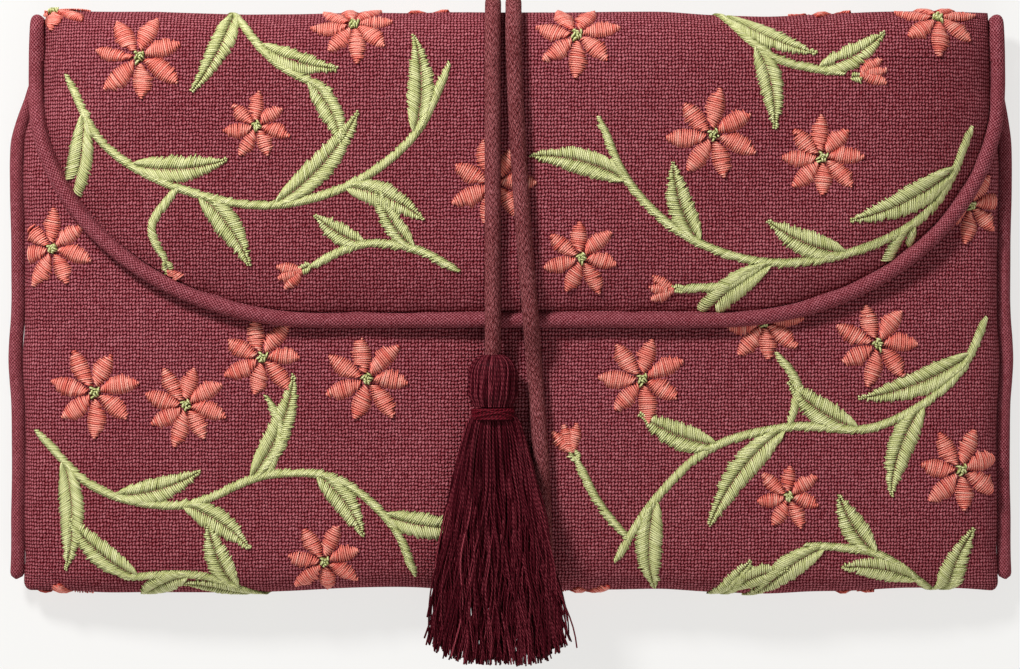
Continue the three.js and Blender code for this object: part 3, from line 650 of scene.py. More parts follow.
def fineCloth(dark, light, pitch, deep=0.00003):
    def build(graph):
        height, shade = threads(graph, *graph.clothUv(), pitch, fineShare.uneven)
        blotch = graph.noise(graph.place(), fineShare.blotchScale, 3.0)
        # the weave's height in the colour level is painted light: crowns lighter, holes darker as if shaded;
        # shade and blotch are the cloth's own tone
        level = height * fineShare.height + shade * fineShare.shade + blotch * fineShare.blotch
        return graph.surface(level, ((0.1, dark), (0.9, light)), height, deep)
    return build


elasticLook = Sizes(
    rib=0.0009, pick=0.0006, ribTint=0.7, pickTint=0.3, pickTall=0.4, deep=0.0001,
    stops=((0.0, (0.05, 0.010, 0.014)), (1.0, (0.16, 0.035, 0.045))),
)
waddingLook = Sizes(
    fibreScale=700.0, clumpScale=120.0, fibre=0.6, clump=0.4, deep=0.0005,
    stops=((0.2, (0.62, 0.60, 0.56)), (0.8, (0.88, 0.86, 0.82))),
)
coreLook = Sizes(
    slant=1500.0, lay=0.0022, deep=0.0002, stops=((0.0, (0.07, 0.010, 0.015)), (1.0, (0.20, 0.045, 0.055))),
)
brassLook = Sizes(
    wearScale=220.0, drawn=(40, 900, 400), rough=0.22, wear=0.25, scratch=0.1, deep=0.00001,
    stops=((0.3, (0.42, 0.30, 0.16)), (0.7, (0.60, 0.45, 0.26))),
)


def ribbed(graph, look=elasticLook):
    u, v = graph.clothUv()
    rib, picks = graph.wave(u * (2 * math.pi / look.rib)), graph.wave(v * (2 * math.pi / look.pick))
    # painted shade that follows the ribs and picks: lighter on their crowns, darker in their grooves
    level = rib * look.ribTint + picks * look.pickTint
    return graph.surface(level, look.stops, rib + picks * look.pickTall, look.deep)


def fluffy(graph, look=waddingLook):
    place = graph.place()
    fibre = graph.noise(place, look.fibreScale, 4.0, 0.75)
    clump = graph.noise(place, look.clumpScale, 3.0)
    return graph.surface(fibre * look.fibre + clump * look.clump, look.stops, fibre, look.deep)


def twistedCore(graph, look=coreLook):
    u, v = graph.clothUv()
    # the same painted light and shade along the core's plies
    ply = graph.wave(u * look.slant + v * (2 * math.pi / look.lay))
    return graph.surface(ply, look.stops, ply, look.deep)


def brass(graph, look=brassLook):
    place = graph.place()
    wear = graph.noise(place, look.wearScale, 4.0, 0.6)
    scratch = graph.noise(graph.wire("ShaderNodeMapping", None, {"Vector": place, "Scale": look.drawn}))
    rough = look.rough + wear * look.wear + scratch * look.scratch
    return {"Roughness": rough} | graph.surface(wear, look.stops, scratch, look.deep)


dull = {"Roughness": 0.9, "Specular_IOR_Level": 0.03}
glossy = {"Roughness": 0.45, "Specular_IOR_Level": 0.25}
coralColours = (0.50, 0.040, 0.026), (0.92, 0.19, 0.135), (1.0, 0.52, 0.41)
greenColours = (0.24, 0.26, 0.065), (0.62, 0.64, 0.24), (0.98, 0.96, 0.55)
satin = fineCloth((0.17, 0.045, 0.055), (0.30, 0.095, 0.11), 0.0004)
tapeCloth = fineCloth((0.06, 0.012, 0.016), (0.13, 0.03, 0.038), 0.0005, 0.00008)
finishes = Sizes(
    linen=material("linen", linen, **dull),
    piping=material("piping", lambda graph: linen(graph, pipingLook, True), **dull),
    cord=material("cord", braided, **dull),
    yarn=material("yarn", twisted(yarnLook), Roughness=0.45, Specular_IOR_Level=0.04),
    binding=material("binding", twisted(bindingLook), Roughness=0.42, Specular_IOR_Level=0.05),
    coral=material("coralThread", sewn(*coralColours), **glossy),
    green=material("greenThread", sewn(*greenColours), **glossy),
    lining=material("lining", satin, Roughness=0.5, Sheen_Weight=0.2),
    elastic=material("elastic", ribbed, Roughness=0.7),
    wadding=material("wadding", fluffy, Roughness=0.95),
    core=material("core", twistedCore, Roughness=0.9),
    tape=material("zipTape", tapeCloth, Roughness=0.8),
    metal=material("zipMetal", brass, Metallic=1.0),
)
print("scene: finishes made")


# Cord: one length round the pouch, from its sewn end on the back to the knot in the tassel's head

piping = Sizes(
    radius=0.0017, wall=0.00055, core=0.0008, off=0.002, rise=0.0022, seamClear=0.00045, sideRadius=0.00145,
    sideStart=0.0025, sideStop=0.009, foldLow=0.0044, foldReach=0.0095, foldBend=0.002,
    flange=0.0004, flangeTurn=0.42, flapFlange=0.0008, flapFlangeTurn=0.2, endGap=0.00004, taper=0.010,
    mouthRadius=0.0012, mouthWall=0.0004, mouthCore=0.0005, mouthShort=0.011, sides=20, coreSides=10,
    coreShort=3, step=0.0007,
)
toHead = Sizes(before=0.0015, rise=0.0002, after=0.0005)  # the cord on its way into the tassel's head
headHeight = frontHeight(cord.leftX, tassel.top) + pouch.pieceGap + tassel.headDeep
knotY = tassel.top - tassel.headHalf - tassel.knotClear


def pipingRest(x):
    return frontHeight(x, flapBottom - piping.off) + piping.rise + piping.radius


def rightStrandX(y):
    return mix(cord.rightEndX, cord.rightX, smooth((y + pouch.bodyHalf) / (2 * pouch.bodyHalf)))


def cordRoute():
    off = cordOffset - cord.settle

    def overTopFold(x, steps=6):
        high = flapOver(x, foldLine) + off
        middle = flapOver(x, foldLine) / 2
        for k in range(steps + 1):
            turn = mix(cord.foldShare, 1 - cord.foldShare, k / steps) * math.pi
            tall = middle - cordMid if turn < math.pi / 2 else high - middle
            yield [x, foldLine + (pouch.foldReach + off) * math.sin(turn), middle - tall * math.cos(turn)]

    def down(xAt, *places):
        for y in places:
            x = xAt(y)
            yield [x, y, (flapOver(x, y) if y > flapBottom else frontHeight(x, y)) + off]

    def overPiping(x):
        return [x, flapBottom - piping.off, pipingRest(x) + off]

    def roundBottom(x, steps=8):
        for k in range(1, steps):
            turn = k / steps * math.pi
            middle = midHeight(x, 0)
            tall = halfThick(x, 0) + off if turn < math.pi / 2 else middle - cordMid
            reach = math.sin(turn) ** (2 / pouch.foldFullness)
            yield [x, -(pouch.bodyHalf + off) * reach, middle + tall * math.cos(turn)]

    def underBack(*places):
        for y in places:
            share = smooth((y + pouch.bodyHalf) / (pouch.bodyHalf - cord.crossFrom))
            yield [mix(cord.rightEndX, cord.leftX, share), y, cordMid]

    overFlap = (0.046, 0.030, 0.014, 0.003)
    return [
        *([cord.rightX, y, cordMid] for y in (cord.start, 0.014, 0.032, 0.048)),
        *overTopFold(cord.rightX),
        *down(rightStrandX, *overFlap),
        overPiping(rightStrandX(flapBottom - piping.off)),
        *down(rightStrandX, -0.013, -0.026, -0.042, -0.054),
        *roundBottom(cord.rightEndX),
        *underBack(-0.052, -0.036, -0.020, -0.006, 0.010, 0.028, 0.048),
        *overTopFold(cord.leftX),
        *down(lambda y: cord.leftX, *overFlap),
        overPiping(cord.leftX),
        [cord.leftX, tassel.top + toHead.before, headHeight + toHead.rise],
        [cord.leftX, tassel.top - toHead.after, headHeight],
        [cord.leftX, knotY + tassel.knotRadius + pouch.pieceGap, headHeight],
    ]


def braidRelief(turn, run):
    a = run / braid.lay * 2 + turn / (2 * math.pi) * braid.carriers
    b = run / braid.lay * 2 - turn / (2 * math.pi) * braid.carriers
    i, j = np.floor(a), np.floor(b)
    over = np.floor(((i - j) * 0.25 % 1) * 2)
    cross = mix(a - i, b - j, over) - 0.5
    return braid.radius - braid.relief * (2 * cross) ** 4


cordLine = spaced(spline(cordRoute()), braid.ringStep)
cordLength = lengths(cordLine)[-1]
tieCord = addTube("tie_cord", cordLine, braidRelief, braid.sides, finishes.cord, meanRadius=braid.radius)
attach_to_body(tieCord, "cord")
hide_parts("wrap_cord")
print(f"scene: cord {cordLength * 1000:.1f} mm long")


# Geometry Nodes: a tree with named inputs, grown on a source mesh and baked to a plain one

def growTree(name, inputs, build):
    tree = bpy.data.node_groups.new(name, "GeometryNodeTree")
    for way in ("INPUT", "OUTPUT"):
        tree.interface.new_socket("Geometry", in_out=way, socket_type="NodeSocketGeometry")
    for label, kind in inputs.items():
        tree.interface.new_socket(label, in_out="INPUT", socket_type=f"NodeSocket{kind}")
    graph = Graph(tree)
    given = graph.node("NodeGroupInput")
    wires = {socket.name: Wire(graph, socket) for socket in given.outputs if socket.name}
    shape = build(graph, wires)
    shape = graph.wire("GeometryNodeRealizeInstances", None, {0: shape})
    shape = graph.wire("GeometryNodeSetShadeSmooth", None, {0: shape})
    shape = graph.wire("GeometryNodeSetMaterial", None, {"Geometry": shape, "Material": wires["Finish"]})
    graph.node("NodeGroupOutput", None, {0: shape})
    return tree


def grow(name, tree, values, points, edges=(), attributes=None):
    mesh = bpy.data.meshes.new(name)
    mesh.from_pydata(np.asarray(points).tolist(), [list(edge) for edge in edges], [])
    for label, data in (attributes or {}).items():
        data = np.asarray(data, float)
        kind, field = ("FLOAT_VECTOR", "vector") if data.ndim == 2 else ("FLOAT", "value")
        mesh.attributes.new(label, kind, "POINT").data.foreach_set(field, data.ravel())
    piece = addObject(name, mesh)
    modifier = piece.modifiers.new("grow", "NODES")
    modifier.node_group = tree
    for socket in tree.interface.items_tree:
        if socket.in_out == "INPUT" and socket.name in values:
            modifier[socket.identifier] = values[socket.name]
    graph = bpy.context.evaluated_depsgraph_get()
    baked = bpy.data.meshes.new_from_object(
        piece.evaluated_get(graph), preserve_all_data_layers=True, depsgraph=graph
    )
    piece.modifiers.remove(modifier)
    piece.data = baked
    baked.name = name
    return piece


def storeOn(graph, shape, name, value, kind, domain="POINT"):
    return graph.wire(
        "GeometryNodeStoreNamedAttribute", {"data_type": kind, "domain": domain},
        {"Geometry": shape, "Name": name, "Value": value},
    )


def storedOn(graph, name, kind="FLOAT_VECTOR"):
    return graph.wire("GeometryNodeInputNamedAttribute", {"data_type": kind}, {"Name": name})


def turnTo(graph, settings, sockets):
    return graph.wire("FunctionNodeAlignRotationToVector", settings, sockets)


stitchForm = Sizes(radius=0.36, pinch=0.45, rise=0.62, dive=0.75)  # as shares of a stitch's own size


def stitchShape(graph, wires):  # a short length of thread that arches out of the cloth, on every point
    rod = graph.node(
        "GeometryNodeMeshCylinder", {"fill_type": "NGON"},
        {
            "Vertices": wires["Sides"], "Side Segments": wires["Segments"], "Radius": stitchForm.radius,
            "Depth": 1.0,
        },
    )
    x, y, z = graph.parts(graph.wire("GeometryNodeInputPosition"))
    end = (z * 2) ** 4
    thin = 1 - end * stitchForm.pinch
    bent = graph.vector(z, (x - y) * thin, stitchForm.rise - end * stitchForm.dive + (x + y) * thin)
    sockets = {"Geometry": Wire(graph, rod.outputs[0]), "Position": bent}
    thread = graph.wire("GeometryNodeSetPosition", None, sockets)
    thread = storeOn(graph, thread, "UVMap", Wire(graph, rod.outputs["UV Map"]), "FLOAT2", "CORNER")
    turn = turnTo(graph, {"axis": "X"}, {"Vector": storedOn(graph, "way")})
    sockets = {"Rotation": turn, "Vector": storedOn(graph, "up")}
    turn = turnTo(graph, {"axis": "Z", "pivot_axis": "X"}, sockets)
    size = storedOn(graph, "size")
    sockets = {"Points": wires["Geometry"], "Instance": thread, "Rotation": turn, "Scale": size}
    return graph.wire("GeometryNodeInstanceOnPoints", None, sockets)


def strandShape(graph, wires):  # a round yarn along every chain of edges, with its turn and length stored
    line = graph.wire("GeometryNodeMeshToCurve", None, {0: wires["Geometry"]})
    run = graph.node("GeometryNodeSplineParameter")
    line = storeOn(graph, line, "along", Wire(graph, run.outputs["Length"]), "FLOAT")
    sockets = {"Resolution": wires["Sides"], "Radius": 1.0}
    ring = graph.wire("GeometryNodeCurvePrimitiveCircle", {"mode": "RADIUS"}, sockets)
    ring = storeOn(graph, ring, "turn", graph.wire("GeometryNodeInputPosition"), "FLOAT_VECTOR")
    thick = storedOn(graph, "thick", "FLOAT") * wires["Radius"]
    sockets = {"Curve": line, "Profile Curve": ring, "Scale": thick, "Fill Caps": True}
    return graph.wire("GeometryNodeCurveToMesh", None, sockets)


stitchTree = growTree("satinStitches", {"Sides": "Int", "Segments": "Int", "Finish": "Material"}, stitchShape)
strandTree = growTree(
    "twistedStrands", {"Sides": "Int", "Radius": "Float", "Finish": "Material"}, strandShape
)


def addStrands(name, lines, thick, tints, radius, sides, finish):
    points, edges, start = np.concatenate(lines), [], 0
    for line in lines:
        edges += [(start + k, start + k + 1) for k in range(len(line) - 1)]
        start += len(line)
    values = {"Sides": sides, "Radius": radius, "Finish": finish}
    tint = np.concatenate([np.full(len(line), share) for line, share in zip(lines, tints)])
    return grow(name, strandTree, values, points, edges, {"thick": np.concatenate(thick), "tint": tint})


# Body: front, bottom fold and back in one cloth, with its wadding and lining

body = Sizes(
    columns=176, rows=188, innerColumns=90, innerRows=90, shellRimDrop=0.0008, liningRimRise=0.0005,
    paddingRimInset=0.002, liningLumps=0.5, leastThick=0.0001, sideSpread=0.75, reliefSeed=40,
)


def spread(columns):  # shares of the half width, closer together at the side seams
    t = np.linspace(-1, 1, columns)
    return mix(t, np.sin(t * math.pi / 2), body.sideSpread)


def bodyGrid(inset, sideInset, columns, rows, rimInset=0.0, rimDrop=0.0):
    j = np.arange(rows)
    crest = (rows - 1) / 2
    onFront = (j < crest)[:, None]
    down = np.sin((1 - np.abs(j - crest) / crest) * math.pi / 2)[:, None]
    y = mix(np.where(onFront, mouthRim - rimInset, foldLine), -(pouch.bodyHalf - inset), down)
    nearFold = 1 - np.clip((y + pouch.bodyHalf - inset) / cloth.corner, 0, 1)
    half = halfWidth(y) + sideWave(y) - sideInset - cloth.corner * (1 - np.sqrt(1 - nearFold**2))
    x = middleX(y) + spread(columns)[None, :] * half
    inside = np.clip((half - np.abs(x - middleX(y))) / pouch.seamRoll, 0, 1)
    taper = mix(pouch.seamThin, 1, np.sqrt(1 - (1 - inside) ** 2))
    thick = np.maximum(body.leastThick, halfThick(x, y) * taper - inset)
    nearRim = np.clip(1 - (mouthRim - rimInset - y) / pouch.rimRoll, 0, 1)
    front = midHeight(x, y) + thick * roundness(y, inset) - rimDrop * (1 - np.sqrt(1 - nearRim**2))
    return xyz(x, y, np.where(onFront, front, backHeight(x, y, thick, inset, inset + cloth.backRise)))


def bodyRelief(grid):
    x, y = grid[..., 0], grid[..., 1]
    run = gridUvs(grid)[..., 1]
    inside = halfWidth(y) - np.abs(x - middleX(y))
    isBack = np.arange(len(grid))[:, None] >= len(grid) // 2
    fade = np.where(isBack, smooth((foldLine - y) / cloth.fade), 1)
    return relief(x, run, np.sign(x) * 0.5 + run, inside, cloth.seed + body.reliefSeed) * fade


def bodySkin(name, finish, inset, thick, sideInset, columns, rows, lumpy=0.0, rimInset=0.0, rimDrop=0.0):
    plain = bodyGrid(inset, sideInset, columns, rows, rimInset, rimDrop)
    lift = normalsOf(plain) * (bodyRelief(plain) * lumpy)[..., None] * (cloth.sideways, 1, 1)
    outer = plain + lift
    outer[..., 2] = np.maximum(inset + cloth.backRise, outer[..., 2])
    inner = bodyGrid(inset + thick, sideInset + thick, columns, rows, rimInset, rimDrop) + lift
    quads = np.concatenate([gridQuads(rows, columns), closeSides(rows, columns)])
    return addSkin(name, outer, inner, quads, gridUvs(outer), finish), outer


def dress(piece, where, slot, *nodes):  # the body a piece rides on, its slot, which is not used, and the nodes it replaces
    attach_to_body(piece, where)
    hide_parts(*nodes)


innerBody = (body.innerColumns, body.innerRows)
bodyCloth, bodyOuter = bodySkin(
    "body_linen", finishes.linen, 0, pouch.linen, 0, body.columns, body.rows, 1.0, 0, body.shellRimDrop
)
dress(bodyCloth, "pouch", "linen", "body_shell")
bodyPad, _ = bodySkin(
    "body_padding", finishes.wadding, waddingTop, pouch.wadding, pouch.waddingInset, *innerBody, 0,
    body.paddingRimInset,
)
dress(bodyPad, "pouch", "wadding", "body_wadding")
bodyLining, _ = bodySkin(
    "body_inner_lining", finishes.lining, liningTop, pouch.lining, pouch.liningInset, *innerBody,
    body.liningLumps, 0, -body.liningRimRise,
)
dress(bodyLining, "pouch", "lining", "body_lining")
print("scene: body made")


# Slip pockets on the back lining, each with its elastic top

slip = Sizes(
    outer=0.86, inner=0.34, room=0.0006, top=0.012, bottom=-0.050, elasticWide=0.005, elasticThick=0.0005,
    rows=40, columns=40, elasticRows=8, puff=0.0001, puffs=5,
)


def slipGrid(side, start, stop, depth, rows):
    y = np.linspace(start, stop, rows)[:, None]
    half = halfWidth(y) - pouch.liningInset - pouch.lining
    reach = np.linspace(slip.outer, slip.inner, slip.columns)[None, :]
    x = middleX(y) + side * reach * half
    z = backHeight(x, y, halfThick(x, y) - depth, depth, depth)
    across = (reach - slip.inner) / (slip.outer - slip.inner)
    return xyz(x, y, z + slip.puff * np.sin(across * math.pi * slip.puffs) ** 2)


def addSlipPart(name, side, start, stop, thick, rows, finish):
    low = layersThick + slip.room
    lower, upper = (slipGrid(side, start, stop, depth, rows) for depth in (low, low + thick))
    return addSkin(name, upper, lower, gridQuads(rows, slip.columns), gridUvs(upper), finish), upper


for side, word in leftRight:
    pocket, top = addSlipPart(
        f"slip_pocket_cloth_{word}", side, slip.top, slip.bottom, pouch.lining, slip.rows, finishes.lining
    )
    dress(pocket, "pouch", "lining", f"slip_pocket_{word}")
    start = slip.top + pouch.pieceGap
    band, _ = addSlipPart(
        f"slip_pocket_elastic_{word}", side, start, start + slip.elasticWide, slip.elasticThick,
        slip.elasticRows, finishes.elastic,
    )
    dress(band, "pouch", "elastic", f"slip_elastic_{word}")


# Flap: its cloth, wadding and lining, with a window for the zip

flapCount = Sizes(corner=70, middle=70, rows=120, innerCorner=26, innerMiddle=28, innerRows=16)
flapSeam = Sizes(roll=0.003, drop=0.0005, fade=0.01, liningLumps=0.5, liningSeed=9)
flapWindow = Sizes(ease=0.004, rows=5)
pocketCount = Sizes(columns=40, rows=20)
zipper = Sizes(
    line=0.038, half=0.058, tapeWide=0.0044, tapeThick=0.0005, slit=0.0009, toothLong=0.001,
    toothPitch=0.0015, toothWide=0.0009, toothThick=0.0011, sliderLong=0.007, sliderWide=0.0064,
    sliderPlate=0.00055, sliderWeb=0.0004, sliderSpace=0.0013, play=0.0003, pullLong=0.016, pullWide=0.004,
    pullThick=0.00045, stopLong=0.0016, pocketMargin=0.006, pocketSeam=0.002, pocketBottom=0.008,
)
zipX = flap.shift
zipHeight = float(flapUnder(zipX, zipper.line)) + pouch.lining / 2
windowHalfWide = zipper.slit / 2 + zipper.toothLong + zipper.tapeWide + 2 * zipper.play
windowHalfLong = zipper.half + zipper.play


def flapColumns(inset, corner, middle):
    wide = flap.cornerWide - inset
    turn = np.linspace(0, math.pi / 2, corner + 1)
    left = -straightHalf - wide * np.cos(turn)
    straight = np.linspace(-straightHalf, straightHalf, middle)[1:-1]
    return flap.shift + np.concatenate([left, straight, -left[::-1]])


def flapTop(x, y):
    inside = insideSeam(x, y)
    rolled = np.clip(1 - inside / flapSeam.roll, 0, 1) ** 2 * smooth((foldLine - y) / flapSeam.fade)
    return flapOver(x, y) + relief(x, y, alongSeam(x, y), inside) - flapSeam.drop * rolled


# Metres along the flap's cloth at its top edge, for every x across it
acrossX = np.linspace(-flap.half, flap.half, 400) + flap.shift
acrossRun = np.concatenate([[0], np.cumsum(np.hypot(np.diff(acrossX), np.diff(flapOver(acrossX, foldLine))))])
acrossRun -= np.interp(0, acrossX, acrossRun)


def addFlapPart(name, node, kind, x, y, quads, upper, lower, sharp=None):
    uvs = np.stack([np.interp(x, acrossX, acrossRun), foldLine - y], axis=-1)
    piece = addSkin(name, xyz(x, y, upper), xyz(x, y, lower), quads, uvs, finishes[kind], sharp)
    dress(piece, "flap", kind, node)
    return piece


def addFlapCloth():
    x = flapColumns(0, flapCount.corner, flapCount.middle)[None, :]
    down = np.sin(np.linspace(0, math.pi / 2, flapCount.rows))[:, None]
    y = mix(foldLine, np.minimum(outlineY(x, 0), foldLine - flap.leastTall), down)
    x = x + 0 * y
    top = flapTop(x, y)
    quads = gridQuads(*x.shape)
    piece = addFlapPart("flap_linen", "flap_shell", "linen", x, y, quads, top, top - pouch.linen, 60)


def windowedFlap(inset, margin):  # a grid whose lines meet the zip's window, and its cells outside the window
    x = flapColumns(inset, flapCount.innerCorner, flapCount.innerMiddle)
    ends = zipX + (windowHalfLong + margin) * np.array([-1, 1])
    for end in ends:
        x[np.argmin(np.abs(x - end))] = end
    outline = np.minimum(outlineY(x, inset), foldLine - flap.leastTall)
    edges = zipper.line + (windowHalfWide + margin) * np.array([1, -1])
    share = np.minimum(1, (foldLine - outline) / (foldLine - edges[1] + flapWindow.ease))
    top, bottom = (foldLine - (foldLine - edge) * share for edge in edges)
    part = np.linspace(0, 1, flapWindow.rows)[1:, None]
    slope = np.sin(np.linspace(0, math.pi / 2, flapCount.innerRows))[1:, None]
    first = np.full((1, len(x)), foldLine)
    y = np.concatenate([first, mix(foldLine, top, part), mix(top, bottom, part), mix(bottom, outline, slope)])
    x = np.broadcast_to(x, y.shape).copy()
    quads = gridQuads(*x.shape)
    centre = np.stack([x.ravel(), y.ravel()], axis=-1)[quads].mean(axis=1)
    away = np.abs(centre - (zipX, zipper.line))
    inWindow = (away[:, 0] < ends[1] - zipX) & (away[:, 1] < edges[0] - zipper.line)
    return x, y, quads[~inWindow]


def addFlapInside():
    x, y, quads = windowedFlap(flap.liningInset, 0)
    lumps = relief(x, y, alongSeam(x, y), insideSeam(x, y), cloth.seed + flapSeam.liningSeed)
    under = flapUnder(x, y) + flapSeam.liningLumps * lumps
    grid = (x, y, quads)
    piece = addFlapPart("flap_inner_lining", "flap_lining", "lining", *grid, under + pouch.lining, under)
    x, y, quads = windowedFlap(flap.waddingInset, zipper.play)
    top = flapOver(x, y) - waddingTop - pouch.layerGap * (flap.waddingEase - swell(x, y))
    under = flapUnder(x, y) + pouch.lining + 2 * pouch.layerGap + flap.pocketCloth
    piece = addFlapPart("flap_padding", "flap_wadding", "wadding", x, y, quads, top, under)
    wide = zipper.half + zipper.pocketMargin
    high = zipper.line - windowHalfWide - zipper.pocketSeam
    x = zipX + np.linspace(-1, 1, pocketCount.columns)[None, :] * wide
    y = np.linspace(high, zipper.pocketBottom, pocketCount.rows)[:, None]
    x, y = x + 0 * y, y + 0 * x
    under = flapUnder(x, y) + pouch.lining + pouch.layerGap
    grid = (x, y, gridQuads(*x.shape))
    over = under + flap.pocketCloth
    piece = addFlapPart("flap_pocket_cloth", "flap_pocket_bag", "lining", *grid, over, under)


addFlapCloth()
addFlapInside()


# Top fold: the cloth that bends from the back over to the flap, in its layers

fold = Sizes(columns=176, rows=56, innerColumns=90, innerRows=28, bendLow=0.0, bendHigh=0.017, kappa=0.5523)


def slopeAt(height, x, y, step=0.0005):
    return (height(x, y) - height(x, y - step)) / step


def fullBack(x, y):
    return backHeight(x, y, halfThick(x, y))


def foldGrid(depthBack, depthFlap, sideInset, columns, rows):  # from the flap round to the back
    x = flap.shift + spread(columns) * (flap.half - sideInset)
    high = flapOver(x, foldLine) - depthFlap
    low = fullBack(x, foldLine) + depthBack
    lift = channel(x, foldLine) * roundness(foldLine)
    flat = np.maximum(0, fullBack(x, foldLine) - np.maximum(0, lift - pouch.tableSink))
    middle = (flat + flapOver(x, foldLine)) / 2
    reach = pouch.foldReach - (depthBack + depthFlap) / 2
    handle = fold.kappa * reach
    t = np.linspace(0, 1, rows // 2 + 1)[:, None]

    def bezier(a, b, c, d):
        return a * (1 - t) ** 3 + 3 * b * t * (1 - t) ** 2 + 3 * c * t**2 * (1 - t) + d * t**3

    highSlope, lowSlope = slopeAt(flapOver, x, foldLine), slopeAt(fullBack, x, foldLine)
    lowHandle = np.maximum(depthBack, low + lowSlope * handle)
    out = foldLine + reach
    upperY = bezier(foldLine, foldLine + handle, out, out)
    upperZ = bezier(high, high + highSlope * handle, middle + fold.kappa * (high - middle), middle)
    lowerY = bezier(out, out, foldLine + handle, foldLine)
    lowerZ = bezier(middle, middle - fold.kappa * (middle - low), lowHandle, low)
    return xyz(x, np.concatenate([upperY[:-1], lowerY]), np.concatenate([upperZ[:-1], lowerZ]))


def foldUvs(grid):
    return np.stack([np.interp(grid[..., 0], acrossX, acrossRun), -gridUvs(grid)[..., 1]], axis=-1)


def foldSkin(name, finish, depths, thickDepths, sideInset, columns, rows, lumpy=0.0):
    plain = foldGrid(*depths, sideInset, columns, rows)
    x, run = plain[..., 0], foldLine + gridUvs(plain)[..., 1]
    total = run[-1, 0] - foldLine
    lift = relief(x, run, alongSeam(x, run), insideSeam(x, run))
    lift = lift * smooth((foldLine + total - run) / cloth.fade)
    outer = plain + normalsOf(plain) * (lift * lumpy)[..., None] * (cloth.sideways, 1, 1)
    inner = foldGrid(*thickDepths, sideInset, columns, rows) + (outer - plain)
    quads = gridQuads(*outer.shape[:2])
    return addSkin(name, outer, inner, quads, foldUvs(outer), finish, 60), outer


pocketDepth = flapThick - layersThick
innerFold = (fold.innerColumns, fold.innerRows)
foldCloth, foldOuter = foldSkin(
    "fold_linen", finishes.linen, (0, 0), (pouch.linen, pouch.linen), 0, fold.columns, fold.rows, 1.0
)
foldPad, _ = foldSkin(
    "fold_padding", finishes.wadding, (waddingTop, waddingTop), (waddingBottom, waddingBottom),
    flap.foldWaddingInset, *innerFold,
)
foldLining, _ = foldSkin(
    "fold_inner_lining", finishes.lining, (liningTop, liningTop + pocketDepth), (layersThick, flapThick),
    pouch.liningInset, *innerFold,
)


def bend(piece, slot, *nodes, low=fold.bendLow, high=fold.bendHigh):
    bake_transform(piece)
    if nodes:
        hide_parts(*nodes)


bend(foldCloth, "linen", "fold_shell")
bend(foldPad, "wadding", "fold_wadding")
bend(foldLining, "lining", "fold_lining")
print("scene: flap and fold made")


# Piping: a bias-cut cover round a core

pipingCount = Sizes(turns=11, side=24, foldTurns=6, mouth=10)


def flapPipingPoint(side, turn):
    x = flap.shift + side * (straightHalf + (flap.cornerWide + piping.off) * math.sin(turn))
    y = cornerMid - (flap.cornerTall + piping.off) * math.cos(turn)
    return [x, y, frontHeight(x, y) + piping.rise]


def flapPipingEnd(side):
    x = flap.shift + side * (flap.half + piping.off)
    y = foldLine - pouch.pieceGap
    return [x, y, frontHeight(x, y) + piping.rise]


def flapPipingRoute():
    turns = [k / pipingCount.turns * math.pi / 2 for k in range(pipingCount.turns + 1)]
    bottom = flapBottom - piping.off
    straight = [flap.shift + straightHalf * share for share in (-0.5, 0, 0.5)]
    return [
        flapPipingEnd(-1),
        *(flapPipingPoint(-1, turn) for turn in reversed(turns)),
        *([x, bottom, frontHeight(x, bottom) + piping.rise] for x in straight),
        *(flapPipingPoint(1, turn) for turn in turns),
        flapPipingEnd(1),
    ]


def sidePipingX(side, y):
    return middleX(y) + side * (halfWidth(y) + piping.sideRadius + piping.seamClear)


def sidePipingRoute(side):
    low, high = piping.sideStart - pouch.bodyHalf, foldLine - piping.sideStop
    route = []
    for y in np.linspace(low, high, pipingCount.side + 1):
        sunk = smooth((y - shoulderStart + pouch.shoulderRamp) / (2 * pouch.shoulderRamp))
        x = sidePipingX(side, y) + side * float(sideWave(y))
        route.append([x, y, mix(pouch.seamHeight, piping.foldLow, sunk)])
    return route


def foldPipingRoute(side):
    x, _, high = flapPipingEnd(side)
    half = (high - piping.foldLow) / 2
    turnY = foldLine + piping.foldReach - half
    start, before = foldLine - piping.sideStop + pouch.pieceGap, foldLine - piping.foldBend
    turns = [k / pipingCount.foldTurns * math.pi for k in range(pipingCount.foldTurns + 1)]
    return [
        [sidePipingX(side, start), start, piping.foldLow],
        [sidePipingX(side, before), before, piping.foldLow],
        *([x, turnY + half * math.sin(turn), piping.foldLow + half * (1 - math.cos(turn))] for turn in turns),
        [x, foldLine, high],
    ]


def mouthPipingRoute():
    y = mouthRim + pouch.pieceGap + piping.mouthRadius
    half = pouch.seamHalf - piping.mouthShort
    places = middleX(y) + np.linspace(-half, half, pipingCount.mouth + 1)
    return [[x, y, frontHeight(x, y) - layersThick / 2] for x in places]


def stretched(line, first, last):  # its ends drawn out along its own direction
    ahead, behind = line[1] - line[0], line[-1] - line[-2]
    line = line.copy()
    line[0] -= ahead / np.linalg.norm(ahead) * first
    line[-1] += behind / np.linalg.norm(behind) * last
    return line


def addPiping(name, line, radius, attach, closed=(False, False), wall=piping.wall, core=piping.core):
    mean = piping.radius if callable(radius) else radius
    cover = addTube(f"{name}_cover", line, radius, piping.sides, finishes.piping, wall, mean, closed)
    attach(cover, "piping", name)
    first, last = (math.ceil(piping.coreShort * wall / piping.step) * isClosed for isClosed in closed)
    line = line[first : len(line) - last]
    inner = addTube(f"{name}_cord", line, core, piping.coreSides, finishes.core)
    attach(inner, "piping_core", f"{name}_core")


